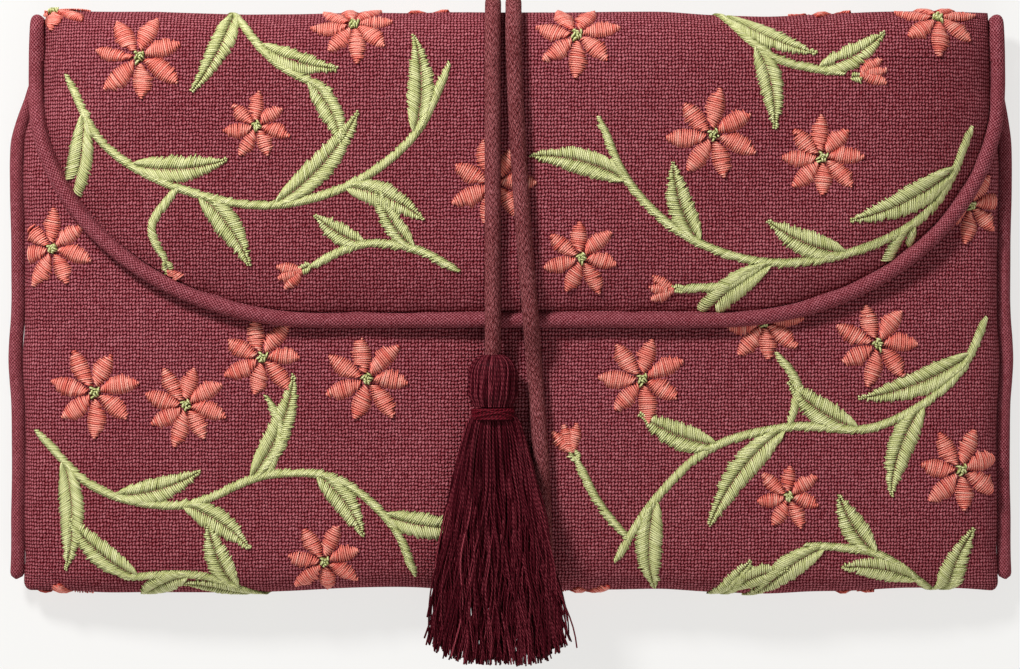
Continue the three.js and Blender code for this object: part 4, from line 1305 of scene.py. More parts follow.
def flanged(side, wide=None):  # the piping's seam allowance stands out from it towards the seam
    def radius(turn, run):
        away = np.abs(np.angle(np.exp(1j * (turn - (0 if side < 0 else math.pi)))))
        plain = mix(piping.sideRadius, wide or piping.sideRadius, smooth(1 - (run[-1] - run) / piping.taper))
        return plain + piping.flange * np.exp(-((away / piping.flangeTurn) ** 2))
    return radius


def flapFlanged(turn, run):  # the flap piping's allowance slopes down, in under the edge of the flap's cloth
    tucked = math.pi + 2 * math.pi / piping.sides
    away = (turn - tucked) / piping.flapFlangeTurn
    return piping.radius + piping.flapFlange * np.exp(-(away**2)) + 0 * run


def ridesOn(where):
    return lambda piece, slot, *nodes: dress(piece, where, slot, *nodes)


def bendsAtEnd(piece, slot, *nodes):
    high = flapPipingEnd(1)[2]
    bend(piece, slot, *nodes, low=piping.foldLow, high=high)


def pipingLine(route, first=0.0, last=0.0):
    return stretched(spaced(spline(route), piping.step), first, last)


grown = pouch.pieceGap / 2 - piping.endGap / 2
addPiping("flap_piping", pipingLine(flapPipingRoute(), grown, grown), flapFlanged, ridesOn("flap"))
addPiping(
    "mouth_piping", pipingLine(mouthPipingRoute()), piping.mouthRadius, ridesOn("pouch"), (True, True),
    piping.mouthWall, piping.mouthCore,
)
for side, word in leftRight:
    line = pipingLine(sidePipingRoute(side), 0, grown)
    addPiping(f"side_piping_{word}", line, flanged(side), ridesOn("pouch"), (True, False))
    line = pipingLine(foldPipingRoute(side), grown, grown)
    addPiping(f"fold_piping_{word}", line, flanged(side, piping.radius), bendsAtEnd)
print("scene: piping made")


# Embroidery: motifs as satin stitches in the cloth's own plane, then sewn on to its surfaces

thread = Sizes(
    pitch=0.00051, wide=0.00064, lift=0.00050, stray=0.00004, ragged=0.0002, lean=0.10, leastHalf=0.0003,
    tintSpread=0.22, overlap=0.6, sides=4, segments=3, seed=21,
)
stemLook = Sizes(wide=0.0017, slant=0.75, lift=0.9, tip=0.35, taper=8)
petalLook = Sizes(
    start=0.13, long=0.87, uneven=0.06, wide=0.40, bow=0.05, lift=1.3, full=0.8, blunt=1.1,
)
heartLook = Sizes(count=9, start=0.035, step=0.011, turn=2.4, slant=1.7, half=0.0005, lift=2.2)
budLook = Sizes(
    turns=(-0.45, 0.45, 0), wide=0.4, bow=0.05, lift=1.2, full=0.9, cupBack=0.002, cupLong=0.5, cupWide=0.35,
)
leafLook = Sizes(
    turn=0.72, sway=0.1, long=0.024, least=0.86, uneven=0.2, wide=0.0058, bow=0.07, start=0.0006,
    rib=0.0002, full=0.85, blunt=0.8,
)
backWork = Sizes(shift=0.036, lift=0.5)  # the back's motifs, against the flap's
coral, green = 0, 1


def towards(angle):
    return np.array([math.cos(angle), math.sin(angle)])


class Stitches:  # rows of start x and y, end x and y, tint, colour, lift
    def __init__(self):
        self.rows = []
        self.random = np.random.default_rng(thread.seed)

    def sew(self, start, stop, colour, lift=1.0):
        count = len(start)
        shake = self.random.normal(0, thread.stray, (count, 4))
        way = (stop - start) / np.linalg.norm(stop - start, axis=1, keepdims=True)
        stop = stop + way * self.random.normal(0, thread.ragged, (count, 1))
        tint = np.clip(0.5 + self.random.normal(0, thread.tintSpread, count), 0, 1)
        fixed = np.full((count, 1), colour), np.full((count, 1), lift)
        self.rows.append(np.concatenate([np.hstack([start, stop]) + shake, tint[:, None], *fixed], axis=1))

    def leafParts(self, base, angle, long, wide, bow, full, blunt):  # rib, half width, stitch count
        ahead = towards(angle)
        left = np.array([-ahead[1], ahead[0]])
        rib = lambda t: base + ahead * long * t[:, None] + left * (bow * long * 4 * t * (1 - t))[:, None]
        half = lambda t: wide / 2 * np.sin(math.pi * np.clip(t, 0, 1) ** blunt) ** full
        reach = lambda t: left * np.maximum(half(t), thread.leastHalf)[:, None]
        return left, rib, reach, max(4, round(long / thread.pitch))

    def leaf(self, base, angle, long, wide, bow):  # in two rows of stitches, from its rib to its edges
        shape = (leafLook.full, leafLook.blunt)
        left, rib, reach, count = self.leafParts(base, angle, long, wide, bow, *shape)
        for side in (-1, 1):
            t = (np.arange(count) + 0.5 + side * 0.25) / count
            out = t + thread.lean * (1 - t)
            self.sew(rib(t) + left * side * leafLook.rib, rib(out) + side * reach(out), green)

    def petal(self, base, angle, long, wide, bow, full, lift):  # each stitch goes from edge to edge
        _, rib, reach, count = self.leafParts(base, angle, long, wide, bow, full, petalLook.blunt)
        t = (np.arange(count) + 0.5) / count
        out = t + thread.lean * (1 - t)
        self.sew(rib(t) - reach(t), rib(out) + reach(out), coral, lift)

    def stem(self, points):
        line = spline([[*p, 0] for p in points], 16)[:, :2]
        line = spaced(np.column_stack([line, 0 * line[:, 0]]), thread.pitch)[:, :2]
        way = np.gradient(line, axis=0)
        way /= np.linalg.norm(way, axis=1, keepdims=True)
        left = np.column_stack([-way[:, 1], way[:, 0]])
        fromEnd = np.minimum(np.arange(len(line)), np.arange(len(line))[::-1])
        share = np.minimum(1, fromEnd / stemLook.taper + stemLook.tip)
        slanted = left * math.cos(stemLook.slant) + way * math.sin(stemLook.slant)
        reach = slanted * (share * stemLook.wide / 2 / math.cos(stemLook.slant))[:, None]
        self.sew(line - reach, line + reach, green, stemLook.lift)
        return line, way

    def blossom(self, x, y, size, petals, turn):
        centre = np.array([x, y])
        for k in range(petals):
            angle = turn + k * 2 * math.pi / petals
            base = centre + petalLook.start * size * towards(angle)
            long = size * (petalLook.long + petalLook.uneven * math.sin(3.7 * k + x * 900))
            look = (size * petalLook.wide, petalLook.bow, petalLook.full, petalLook.lift)
            self.petal(base, angle, long, *look)
        k = np.arange(heartLook.count)
        turns = turn + k * heartLook.turn
        out = (heartLook.start + heartLook.step * k)[:, None] * size
        knots = centre + out * np.column_stack([np.cos(turns), np.sin(turns)])
        slant = turns * heartLook.slant
        across = heartLook.half * np.column_stack([np.cos(slant), np.sin(slant)])
        self.sew(knots - across, knots + across, green, heartLook.lift)

    def bud(self, x, y, angle, size=0.007):
        base = np.array([x, y])
        look = (size * budLook.wide, budLook.bow, budLook.full, budLook.lift)
        for turn in budLook.turns:
            self.petal(base, angle + turn, size, *look)
        cup = base - budLook.cupBack * towards(angle)
        self.leaf(cup, angle, size * budLook.cupLong, size * budLook.cupWide, 0)

    def vine(self, points, leaves, long=leafLook.long, wide=leafLook.wide):
        # leaves: shares of the vine's length, on alternate sides unless the share is negative
        line, way = self.stem(points)
        for k, share in enumerate(leaves):
            side = 1 if k % 2 else -1
            side = -side if share < 0 else side
            at = min(len(line) - 1, round(abs(share) * (len(line) - 1)))
            sway = leafLook.sway * math.sin(5 * k)
            angle = math.atan2(way[at][1], way[at][0]) + side * (leafLook.turn + sway)
            size = long * (leafLook.least + leafLook.uneven * math.sin(2.3 * k + 1))
            self.leaf(line[at] + leafLook.start * way[at], angle, size, wide, -leafLook.bow * side)

    def blossoms(self, *flowers):  # x, y and size in millimetres, count of petals, turn
        for x, y, size, petals, turn in flowers:
            self.blossom(x / 1000, y / 1000, size / 1000, petals, turn)

    def array(self):
        return np.concatenate(self.rows)


def mm(*points):
    return [[value / 1000 for value in point] for point in points]


sixLeaves = [0.08, 0.22, 0.37, 0.52, 0.67, 0.84]


def flapDesign():
    sewing = Stitches()
    swag = mm((-102, 52), (-93, 36), (-76, 26), (-55, 22), (-36, 27), (-22, 38), (-14, 54))
    sewing.vine(swag, sixLeaves, 0.027, 0.0058)
    swag = mm((106, 40), (97, 22), (80, 12), (58, 9), (40, 15), (27, 27), (20, 42))
    sewing.vine(swag, sixLeaves[:-1] + [0.86], 0.027, 0.0058)
    sewing.vine(mm((-66, 78), (-62, 66), (-54, 55), (-41, 48)), [0.2, 0.5, 0.85], 0.023, 0.0052)
    sewing.vine(mm((46, 78), (50, 66), (60, 56), (76, 52)), [-0.2, -0.5, -0.85], 0.024, 0.0054)
    sewing.vine(mm((-12, 7), (-22, 12), (-34, 13), (-46, 8)), [0.3, -0.6], 0.016, 0.0046)
    sewing.stem(mm((58, 9), (50, 4), (38, 3)))
    sewing.stem(mm((-76, 26), (-82, 17), (-79, 9)))
    sewing.blossoms(
        (-85, 56, 10.4, 7, 0.3), (-4, 27, 10.0, 7, 0.9), (-36, 64, 9.4, 8, 0.1), (46, 38, 10.2, 7, 0.5),
        (15, 61, 9.8, 7, 0.2), (98, 66, 9.6, 7, 1.1), (71, 33, 9.2, 8, 0.0), (16, 10, 8.6, 7, 0.7),
        (-106, 72, 9.4, 7, 0.2), (-58, 40, 7.6, 7, 0.6), (72, 78, 9.6, 7, 0.1), (-20, 79, 9.6, 7, 0.8),
    )
    sewing.bud(0.0375, 0.003, 3.1, 0.006)
    sewing.bud(-0.0785, 0.0075, -1.3)
    sewing.bud(0.0795, 0.0515, 0.2, 0.0065)
    sewing.bud(-0.0475, 0.0075, 3.5, 0.006)
    return sewing.array()


def frontDesign():
    sewing = Stitches()
    swag = mm((-110, -30), (-96, -43), (-76, -47), (-56, -40), (-40, -41), (-27, -52), (-22, -64))
    sewing.vine(swag, sixLeaves, 0.025, 0.0056)
    swag = mm((110, -4), (101, -19), (84, -29), (64, -29), (46, -34), (33, -46), (24, -60))
    sewing.vine(swag, sixLeaves, 0.027, 0.0060)
    sewing.vine(mm((104, -84), (98, -70), (86, -59), (68, -56)), [0.2, 0.42, 0.66, 0.9], 0.022, 0.0058)
    sewing.vine(mm((-52, -84), (-57, -72), (-70, -64), (-90, -64)), [-0.2, -0.42, -0.66, -0.9], 0.021, 0.0056)
    sewing.vine(mm((50, -84), (47, -74), (52, -64)), [0.35, -0.8], 0.018, 0.005)
    sewing.stem(mm((-56, -40), (-53, -30), (-56, -22)))
    sewing.stem(mm((64, -29), (66, -20), (61, -12)))
    sewing.blossoms(
        (-96, -21, 10.2, 7, 0.2), (-75, -24, 9.4, 8, 0.5), (-33, -18, 10.0, 7, 0.8), (-57, -13, 9.2, 7, 0.0),
        (-106, 12, 9.2, 7, 0.6), (-43, -60, 8.8, 7, 0.3), (30, -18, 9.8, 7, 0.4), (58, -5, 9.0, 8, 0.1),
        (84, -10, 9.6, 7, 0.9), (104, -39, 9.8, 7, 0.3), (64, -45, 7.6, 7, 0.6), (80, -78, 9.4, 8, 0.2),
        (106, 22, 8.6, 7, 0.1), (-106, -76, 9.6, 7, 0.5), (-24, -82, 9.4, 7, 0.5), (18, -76, 9.6, 8, 0.3),
        (-70, 14, 9, 7, 0.2), (-24, 42, 9, 7, 0.6), (60, 20, 9, 8, 0.4),
    )
    sewing.stem(mm((27, -55), (20, -46), (15, -36)))
    sewing.bud(0.0145, -0.035, 1.9)
    sewing.vine(mm((-96, 38), (-70, 34), (-44, 40), (-20, 20)), [0.2, 0.4, 0.6, 0.8], 0.020)
    sewing.vine(mm((94, 36), (68, 40), (40, 30), (22, 10)), [0.2, 0.4, 0.6, 0.8], 0.020)
    return sewing.array()


def backDesign():  # the flap's sprays turned half round, pressed flat by the table
    sewing = flapDesign()
    sewing[:, :4] *= -1
    sewing[:, [1, 3]] += backWork.shift
    sewing[:, 6] *= backWork.lift
    return sewing


bodyRun = gridUvs(bodyOuter)[:, body.columns // 2, 1]
crestRun = float(np.mean(bodyRun[body.rows // 2 - 1 : body.rows // 2 + 1]))
foldRun = gridUvs(foldOuter)[:, fold.columns // 2, 1]


def lookUp(grid, runs, run, share):  # a point of the grid at that run down it and share of its half width
    row = np.interp(run, runs, np.arange(len(runs)))
    column = np.interp(share, spread(grid.shape[1]), np.arange(grid.shape[1]))
    i = np.clip(np.floor(row).astype(int), 0, grid.shape[0] - 2)
    j = np.clip(np.floor(column).astype(int), 0, grid.shape[1] - 2)
    s, t = (row - i)[:, None], (column - j)[:, None]
    return mix(mix(grid[i, j], grid[i + 1, j], s), mix(grid[i, j + 1], grid[i + 1, j + 1], s), t)


def onFlap(x, y):
    return xyz(x, y, flapTop(x, y))


def onFold(x, y):
    return lookUp(foldOuter, foldRun, y - foldLine, (x - flap.shift) / flap.half)


def onFront(x, y):
    return lookUp(bodyOuter, bodyRun, mouthRim - y, x / pouch.seamHalf)


def onBack(x, y):
    return lookUp(bodyOuter, bodyRun, crestRun + y + pouch.bodyHalf, x / pouch.seamHalf)


def threadValues(stitches, place, step=0.0004):
    ax, ay, bx, by, tint, _, lift = stitches.T
    x, y = (ax + bx) / 2, (ay + by) / 2
    up = np.cross(place(x + step, y) - place(x - step, y), place(x, y + step) - place(x, y - step))
    up /= np.maximum(1e-12, np.linalg.norm(up, axis=1, keepdims=True))
    way = place(bx, by) - place(ax, ay)
    long = np.linalg.norm(way, axis=1)
    size = xyz(long + thread.wide * thread.overlap, thread.wide, thread.lift * lift)
    return place(x, y), {"up": up, "way": way / np.maximum(1e-9, long)[:, None], "size": size, "tint": tint}


def sewOn(word, stitches, place, attach, isTurned=False):
    for colour, colourWord in ((coral, "coral"), (green, "green")):
        centre, data = threadValues(stitches[stitches[:, 5] == colour], place)
        if isTurned:
            data["up"] *= -1
        values = {"Sides": thread.sides, "Segments": thread.segments, "Finish": finishes[colourWord]}
        piece = grow(f"stitches_{colourWord}_{word}", stitchTree, values, centre, (), data)
        attach(piece)
        print(f"scene: {len(centre)} {colourWord} stitches on the {word}, {len(piece.data.polygons)} faces")


def within(stitches, low, high):
    middle = stitches[:, (1, 3)].mean(axis=1)
    return stitches[(middle >= low) & (middle < high)]


def insideFlap(stitches, inSeam=0.0003):
    x, y = stitches[:, [0, 2]].mean(axis=1), stitches[:, [1, 3]].mean(axis=1)
    return stitches[(y > foldLine) | (insideSeam(x, y) > inSeam)]


def insideSides(stitches, half):
    return stitches[np.abs(stitches[:, [0, 2]]).max(axis=1) < half]


def yarnOn(where):
    def attach(piece):
        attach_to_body(piece, where)
    return attach


sewnArea = Sizes(
    flapSide=0.0005, frontSide=0.001, backSide=0.004, foldReach=0.030, frontLow=-0.085, rimMargin=0.004,
)
flapStitches = insideSides(insideFlap(flapDesign()), flap.half - sewnArea.flapSide)
frontStitches = insideSides(frontDesign(), pouch.seamHalf - sewnArea.frontSide)
backStitches = insideSides(backDesign(), flap.half - sewnArea.backSide)
sewOn("flap", within(flapStitches, -1, foldLine), onFlap, yarnOn("flap"))
sewOn(
    "fold", within(flapStitches, foldLine, foldLine + sewnArea.foldReach), onFold,
    lambda piece: bend(piece, "yarn"),
)
onShow = within(frontStitches, sewnArea.frontLow, mouthRim - sewnArea.rimMargin)
sewOn("front", onShow, onFront, yarnOn("pouch"))
sewOn("back", backStitches, onBack, yarnOn("pouch"), isTurned=True)
print("scene: embroidery made")


# Tassel: a head of strands over the knot, its binding, and the skirt

strand = Sizes(radius=0.00025, sides=4, seed=3)
headLook = Sizes(
    count=104, squareness=2.4, eyeTurn=0.36, domeSteps=12, sideSteps=12, twist=0.16, sway=0.03, wander=0.02,
    sink=(0.9, 1.5), tight=1.08, coreSink=1.6, coreWall=0.0013, coreSides=36,
)
knotLook = Sizes(size=0.27, pull=0.85, cord=0.3, steps=161, openEnd=3, sides=12)
bindingForm = Sizes(
    radius=0.00022, sides=6, turns=9, stepsPerTurn=30, sink=0.0009, wobble=0.00008, wobbleTurn=37,
    crossSteps=40, crossFrom=-0.9, crossTo=1.2, crossSink=0.0006, crossDown=0.0004, crossSlope=0.7,
    crossings=((0.25, 0.0001), (0.8, 0.00022)), coreSink=0.0011, coreSides=32, coreRings=9,
)
skirtLook = Sizes(
    count=740, steps=24, clumps=52, clumpPull=0.5, crossing=0.07, wave=0.0022, flare=0.66, wander=0.02,
    clumpWander=0.03, spreadTip=0.0013, tipDrop=0.0012, tipRaise=0.0050, tipStray=0.0018, strays=24,
    strayShort=(0.004, 0.012), strayReach=(0.001, 0.0055), neckWide=0.8, neckDeep=0.9, startShare=0.6,
    depthShare=0.46, ripple=0.0003, thick=(0.8, 1.15), tipThick=0.8, tint=0.17, topTint=0.20, tintSpread=0.20,
)
headFlat = tassel.headDeep / tassel.headHalf
bindingTop = tassel.headLong + pouch.pieceGap  # under the tassel's top


def tasselX(y):
    return cord.leftX + (tassel.top - y) * math.tan(tassel.swing)


def headRadius(down):  # radius of the head's surface at a distance under its top
    square = headLook.squareness
    dome = tassel.headHalf * (1 - np.clip(1 - down / tassel.headHalf, 0, 1) ** square) ** (1 / square)
    straight = np.where(down < tassel.headHalf, dome, tassel.headHalf)
    neck = smooth((down - (tassel.headLong - tassel.headTaper)) / tassel.headTaper)
    return mix(straight, tassel.neckHalf, neck)


def roundTassel(turn, down, radius):
    x = cord.leftX + radius * np.cos(turn)
    return xyz(x, tassel.top - down, headHeight + radius * np.sin(turn) * headFlat)


def addTasselHead():
    domeTurns = np.linspace(headLook.eyeTurn, math.pi / 2, headLook.domeSteps)
    straight = np.linspace(tassel.headHalf, tassel.headLong, headLook.sideSteps)[1:]
    down = np.concatenate([tassel.headHalf * (1 - np.cos(domeTurns)), straight])
    random = np.random.default_rng(strand.seed)
    full = headRadius(down)
    lines, thick = [], []
    for k in range(headLook.count):
        turn = k / headLook.count * 2 * math.pi + headLook.twist * (down / tassel.headLong)
        turn = turn + random.normal(0, headLook.wander)
        turn = turn + headLook.sway * np.sin(down * random.uniform(300, 900) + random.uniform(0, 6.3))
        lines.append(roundTassel(turn, down, full - strand.radius * random.uniform(*headLook.sink)))
        thick.append(np.minimum(1, full / (strand.radius * 2 * headLook.count / 6.3)) * headLook.tight)
    tints = random.uniform(0.0, 1.0, len(lines))
    strands = (lines, thick, tints, strand.radius, strand.sides, finishes.yarn)
    dress(addStrands("tassel_head_strands", *strands), "tassel", "yarn")
    sides = headLook.coreSides
    turn = np.arange(sides) / sides * 2 * math.pi
    outer, inner = (
        [roundTassel(turn, d, r) for d, r in zip(down, full - sunk)]
        for sunk in (strand.radius * headLook.coreSink, headLook.coreWall)
    )
    skin = np.array(outer + inner[::-1])
    quads, uvs = tubeFaces(len(skin), sides, 0.0005, 0.03)
    last = (len(skin) - 1) * sides
    closing = [[last + k, last + (k + 1) % sides, (k + 1) % sides, k] for k in range(sides)]
    uvs = np.concatenate([uvs, np.zeros((sides * 4, 2))])
    piece = addPiece("tassel_head_core", skin.reshape(-1, 3), quads.tolist() + closing, finishes.yarn, uvs)
    dress(piece, "tassel", "yarn", "tassel_head")


def addTasselKnot():  # a trefoil of the cord, drawn tight
    turn = np.linspace(0, 2 * math.pi, knotLook.steps)[:-1]
    x, y = np.sin(turn) + 2 * np.sin(2 * turn), np.cos(turn) - 2 * np.cos(2 * turn)
    knot = xyz(x, y, -np.sin(3 * turn) * headFlat) * (tassel.knotRadius * knotLook.size) * knotLook.pull
    line = knot[knotLook.openEnd : -knotLook.openEnd] + np.array([cord.leftX, knotY, headHeight])
    thick = tassel.knotRadius * knotLook.cord
    piece = addTube("tassel_cord_knot", line, thick, knotLook.sides, finishes.cord)
    dress(piece, "tassel", "cord", "tassel_knot")


def addTasselBinding():
    form = bindingForm
    t = np.linspace(0, 1, form.turns * form.stepsPerTurn)
    down = bindingTop + form.radius + t * (tassel.bindingLong - 2 * form.radius)
    radius = tassel.bindingHalf - form.sink + form.wobble * np.sin(t * form.wobbleTurn)
    lines = [roundTassel(t * form.turns * 2 * math.pi, down, radius)]
    cross = np.linspace(form.crossFrom, form.crossTo, form.crossSteps)
    slant = (cross - form.crossFrom) / (form.crossTo - form.crossFrom)
    for shift, lift in form.crossings:
        run = bindingTop + form.crossDown + tassel.bindingLong * form.crossSlope * np.abs(slant - shift)
        lines.append(roundTassel(math.pi / 2 - cross, run, tassel.bindingHalf - form.crossSink + lift))
    thick = [np.ones(len(line)) for line in lines]
    strands = (lines, thick, [0.5] * len(lines), form.radius, form.sides, finishes.binding)
    dress(addStrands("tassel_neck_binding", *strands), "tassel", "binding")
    top = tassel.top - tassel.headLong - pouch.pieceGap
    y = np.linspace(top, top - tassel.bindingLong, form.coreRings)
    half = tassel.bindingHalf - form.coreSink
    oval = lambda turn, run: half / np.sqrt(np.sin(turn) ** 2 / headFlat**2 + np.cos(turn) ** 2) + 0 * run
    line = xyz(cord.leftX, y, headHeight)
    piece = addTube("tassel_neck_core", line, oval, form.coreSides, finishes.yarn, None, half)
    dress(piece, "tassel", "yarn", "tassel_binding")


def skirtLow(x, y, t, deep):
    rest = frontHeight(x, 0 * y) + tassel.skirtRise
    ramp = tassel.strandRamp
    onStrand = 2 * cordOffset * smooth((x - rightStrandX(y) + cordOffset + ramp) / ramp)
    neck = headHeight - deep / 2 - rest
    down = smooth(t * 3)
    return rest + np.maximum(onStrand * down, neck * (1 - down))


def addTasselSkirt():
    look = skirtLook
    random = np.random.default_rng(strand.seed + 1)
    top = tassel.top - tassel.headLong - tassel.bindingLong * look.startShare
    t = np.linspace(0, 1, look.steps)
    clumps = np.sort(random.uniform(-1, 1, look.clumps))
    lines, thick, tints = [], [], []
    for k in range(look.count):
        share = -math.cos(math.pi * (k + 0.5) / look.count) + random.normal(0, look.wander)
        share = float(np.clip(share, -0.99, 0.99))
        layer = random.uniform(-1, 1)
        near = clumps[np.argmin(np.abs(clumps - share - random.normal(0, look.clumpWander)))]
        isStray = k % (look.count // look.strays) == 3
        tip = tassel.skirtTip - look.tipDrop + look.tipRaise * abs(share) ** 3
        tip += abs(random.normal(0, look.tipStray))
        tip += random.uniform(*look.strayShort) if isStray else 0
        y = mix(top, tip, t)
        full = np.clip((top - y) / (top - tassel.skirtTip), 0, 1)
        half = mix(tassel.skirtNeckHalf * look.neckWide, tassel.skirtEndHalf, full**look.flare)
        pulled = share + (near - share) * look.clumpPull * smooth(full * 1.3 - 0.2)
        pulled = np.clip(pulled + random.normal(0, look.crossing) * (1 - smooth(full * 1.6)), -1, 1)
        phase, waves = random.uniform(0, 2 * math.pi, 2), random.uniform(6, 22, 2)
        sway = look.wave * np.sin(full * waves[0] + phase[0]) * smooth(full * 1.5) * 5 / waves[0]
        x = tasselX(y) + half * pulled + sway + random.normal(0, look.spreadTip) * full**2
        if isStray:
            x += np.sign(share) * random.uniform(*look.strayReach) * smooth(full * 2.2 - 1.2)
        deep = mix(tassel.skirtNeckDeep * look.neckDeep, tassel.skirtEndDeep, full)
        level = 0.5 + look.depthShare * layer * (0.15 + 0.85 * math.sqrt(1 - share**2))
        z = skirtLow(x, y, full, deep) + deep * level + look.ripple * np.sin(full * waves[1] + phase[1])
        lines.append(xyz(x, y, z))
        thick.append(mix(1.0, look.tipThick, t) * random.uniform(*look.thick))
        # strands of the upper layer are tinted lighter: painted light on the skirt's top, the deeper strands
        # left darker as if shaded; the random spread is each strand's own tone
        tint = look.tint + look.topTint * (layer > 0.3) + random.normal(0, look.tintSpread)
        tints.append(np.clip(tint, 0, 1))
    strands = (lines, thick, tints, strand.radius, strand.sides, finishes.yarn)
    dress(addStrands("tassel_skirt_strands", *strands), "tassel", "yarn", "tassel_skirt")


addTasselHead()
addTasselKnot()
addTasselBinding()
addTasselSkirt()
print("scene: tassel made")


# Zip in the flap's lining: tapes, rows of teeth, stops, slider and pull

zipLook = Sizes(
    tapeColumns=60, tapeRows=7, tapeRipple=0.00006, toothCut=0.3, headRound=0.25, headThin=0.35,
    sliderBevel=0.00012, pullBevel=0.00008, stopBevel=0.00018, pullWaist=0.72, sharp=50,
)


def addZipTape(side, word):
    x = zipX + np.linspace(-zipper.half, zipper.half, zipLook.tapeColumns)[None, :]
    near = zipper.line + side * (zipper.slit / 2 + zipper.toothLong + zipper.play)
    y = np.linspace(near, near + side * zipper.tapeWide, zipLook.tapeRows)[:, None]
    x, y = x + 0 * y, y + 0 * x
    z = zipHeight + zipLook.tapeRipple * np.sin((y - near) / zipper.tapeWide * 3 * math.pi)
    upper, lower = (xyz(x, y, z + lift) for lift in (zipper.tapeThick / 2, -zipper.tapeThick / 2))
    uvs = np.stack([x, y], axis=-1)
    piece = addSkin(f"zip_tape_woven_{word}", upper, lower, gridQuads(*x.shape), uvs, finishes.tape)
    dress(piece, "flap", "zip_tape", f"zip_tape_{word}")


def toothShape(graph, wires):  # one tooth with a rounded head, on every point along the tape's edge
    sockets = {"Size": wires["Size"], "Vertices X": 3, "Vertices Y": 4, "Vertices Z": 3}
    tooth = graph.wire("GeometryNodeMeshCube", None, sockets)
    x, y, z = graph.parts(graph.wire("GeometryNodeInputPosition"))
    long = graph.parts(wires["Size"])[1]
    head = graph.maths("MAXIMUM", y / long, 0.0) * 2
    waist = 1 - zipLook.toothCut * graph.maths("SINE", (y / long + 0.5) * math.pi)
    bent = graph.vector(
        x * waist * (1 - head * head * zipLook.headRound), y, z * (1 - head * head * zipLook.headThin)
    )
    shaped = graph.wire("GeometryNodeSetPosition", None, {"Geometry": tooth, "Position": bent})
    turn = graph.wire("FunctionNodeAxisAngleToRotation", None, {"Axis": (0, 0, 1), "Angle": wires["Turn"]})
    sockets = {"Points": wires["Geometry"], "Instance": shaped, "Rotation": turn}
    return graph.wire("GeometryNodeInstanceOnPoints", None, sockets)


toothTree = growTree("zipTeeth", {"Size": "Vector", "Turn": "Float", "Finish": "Material"}, toothShape)


def addZipTeeth(side, word):
    run = 2 * (zipper.half - 2 * zipper.stopLong)
    count = int(run / zipper.toothPitch)
    shift = 0.25 * side * zipper.toothPitch
    x = zipX - run / 2 + (np.arange(count) + 0.5) * zipper.toothPitch + shift
    y = zipper.line + side * (zipper.slit / 2 + zipper.toothLong / 2)
    values = {
        "Size": (zipper.toothWide, zipper.toothLong + zipper.play, zipper.toothThick),
        "Turn": math.pi if side > 0 else 0.0, "Finish": finishes.metal,
    }
    piece = grow(f"zip_teeth_row_{word}", toothTree, values, xyz(x, y, zipHeight))
    dress(piece, "flap", "metal", f"zip_teeth_{word}")


def addSolid(name, outline, thick, place, bevel, upright=False):  # an outline of metal with soft edges
    work = bmesh.new()
    face = work.faces.new([work.verts.new((x, y, 0)) for x, y in outline])
    moved = bmesh.ops.extrude_face_region(work, geom=[face])["geom"]
    top = [part for part in moved if isinstance(part, bmesh.types.BMVert)]
    bmesh.ops.translate(work, vec=(0, 0, thick), verts=top)
    bmesh.ops.recalc_face_normals(work, faces=work.faces)
    bmesh.ops.bevel(work, geom=work.edges[:], offset=bevel, segments=2, profile=0.5, affect="EDGES")
    if upright:  # the outline stands across the zip, and its thickness runs along it
        for vertex in work.verts:
            a, b, c = vertex.co
            vertex.co = (c, a, b)
    bmesh.ops.translate(work, vec=place, verts=work.verts)
    bmesh.ops.recalc_face_normals(work, faces=work.faces)
    mesh = bpy.data.meshes.new(name)
    work.to_mesh(mesh)
    work.free()
    mesh.shade_smooth()
    mesh.set_sharp_from_angle(angle=math.radians(zipLook.sharp))
    mesh.materials.append(finishes.metal)
    return addObject(name, mesh)


def addZipSlider():
    start = zipX - zipper.half + 2 * zipper.stopLong + zipper.sliderLong / 2
    wide, web, gap = zipper.sliderWide / 2, zipper.sliderWeb / 2, zipper.sliderSpace / 2
    tall = gap + zipper.sliderPlate
    outline = [
        (-wide, -tall), (wide, -tall), (wide, -gap), (web, -gap), (web, gap), (wide, gap), (wide, tall),
        (-wide, tall), (-wide, gap), (-web, gap), (-web, -gap), (-wide, -gap),
    ]
    place = (start, zipper.line, zipHeight)
    piece = addSolid("zip_slider_body", outline, zipper.sliderLong, place, zipLook.sliderBevel, True)
    dress(piece, "zip_slider", "metal", "zip_slider")
    under = zipHeight - tall - zipper.play - zipper.pullThick
    radius, reach = zipper.pullWide / 2, zipper.pullLong - zipper.pullWide
    turns = np.linspace(0, math.pi, 15)
    half = lambda share: radius * mix(1, zipLook.pullWaist, math.sin(share * math.pi))
    outline = [(-radius * math.sin(t), radius * math.cos(t)) for t in turns]
    outline += [(reach * s, -half(s)) for s in np.linspace(0.1, 0.9, 9)]
    outline += [(reach + radius * math.sin(t), -radius * math.cos(t)) for t in turns]
    outline += [(reach * s, half(s)) for s in np.linspace(0.9, 0.1, 9)]
    place = (start + zipper.sliderLong / 2, zipper.line, under)
    piece = addSolid("zip_pull_tag", outline, zipper.pullThick, place, zipLook.pullBevel)
    dress(piece, "zip_slider", "metal", "zip_pull")


for side, word in ((1, "upper"), (-1, "lower")):
    addZipTape(side, word)
    addZipTeeth(side, word)
for side, word in leftRight:
    half, wide = zipper.stopLong / 2, zipper.toothLong + zipper.slit / 2
    outline = [(-half, -wide), (half, -wide), (half, wide), (-half, wide)]
    place = (zipX + side * (zipper.half - zipper.stopLong), zipper.line, zipHeight - zipper.toothThick / 2)
    stop = addSolid(f"zip_end_{word}", outline, zipper.toothThick, place, zipLook.stopBevel)
    dress(stop, "flap", "metal", f"zip_stop_{word}")
addZipSlider()
print("scene: zip made")


# Floor, light and background

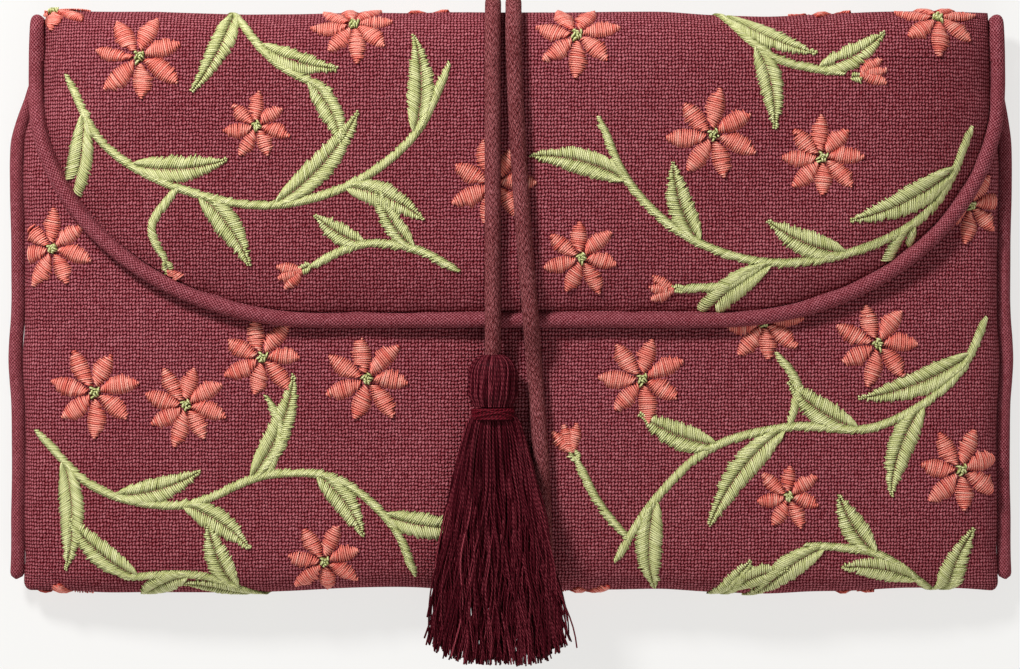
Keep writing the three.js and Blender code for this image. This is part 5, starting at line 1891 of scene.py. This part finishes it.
studio = Sizes(
    floorHalf=4.0, floorLow=-0.00012, floorColour=(0.22, 0.2185, 0.214, 1), floorGlow=0.70, worldLevel=0.25,
    white=(1, 0.992, 0.973, 1), grainScale=400.0, grainDeep=0.00001,
)
lamps = (
    ("key_light", (-0.42, 0.62, 0.60), 0.20, 9.7),
    ("fill_light", (0.15, -0.85, 0.75), 1.0, 3.3),
)


def paper(graph):
    return {"Normal": graph.bump(graph.noise(graph.place(), studio.grainScale, 3.0), studio.grainDeep)}


def addFloor():
    half, z = studio.floorHalf, studio.floorLow
    corners = [(-half, -half, z), (half, -half, z), (half, half, z), (-half, half, z)]
    mesh = bpy.data.meshes.new("floor")
    mesh.from_pydata(corners, [], [(0, 1, 2, 3)])
    mesh.materials.append(material(
        "floorPaper", paper, Base_Color=studio.floorColour, Roughness=1.0, Emission_Color=studio.white,
        Emission_Strength=studio.floorGlow,
    ))
    addObject("floor", mesh)


def addLamps():
    for name, place, size, power in lamps:
        data = bpy.data.lights.new(name, "AREA")
        data.shape = "DISK"
        data.size = size
        data.energy = power
        lamp = addObject(name, data)
        lamp.location = place
        x, y, z = place
        lamp.rotation_euler = (math.atan2(math.hypot(x, y), z), 0, math.atan2(y, x) + math.pi / 2)


def addWorld():  # white where the camera and the gloss see it, and dimmer as a light
    world = bpy.data.worlds.new("studio")
    bpy.context.scene.world = world
    world.use_nodes = True
    world.node_tree.nodes.clear()
    graph = Graph(world.node_tree)
    rays, kinds = graph.node("ShaderNodeLightPath").outputs, ("Camera", "Transmission", "Glossy")
    sight, through, gloss = (Wire(graph, rays[f"Is {kind} Ray"]) for kind in kinds)
    seen = graph.maths("MAXIMUM", graph.maths("MAXIMUM", sight, through), gloss)
    strength = studio.worldLevel + seen * (1 - studio.worldLevel)
    back = graph.wire("ShaderNodeBackground", None, {"Color": studio.white, "Strength": strength})
    graph.node("ShaderNodeOutputWorld", None, {"Surface": back})


addFloor()
addLamps()
addWorld()
bpy.context.scene.view_settings.view_transform = "Standard"
print("scene: studio made")
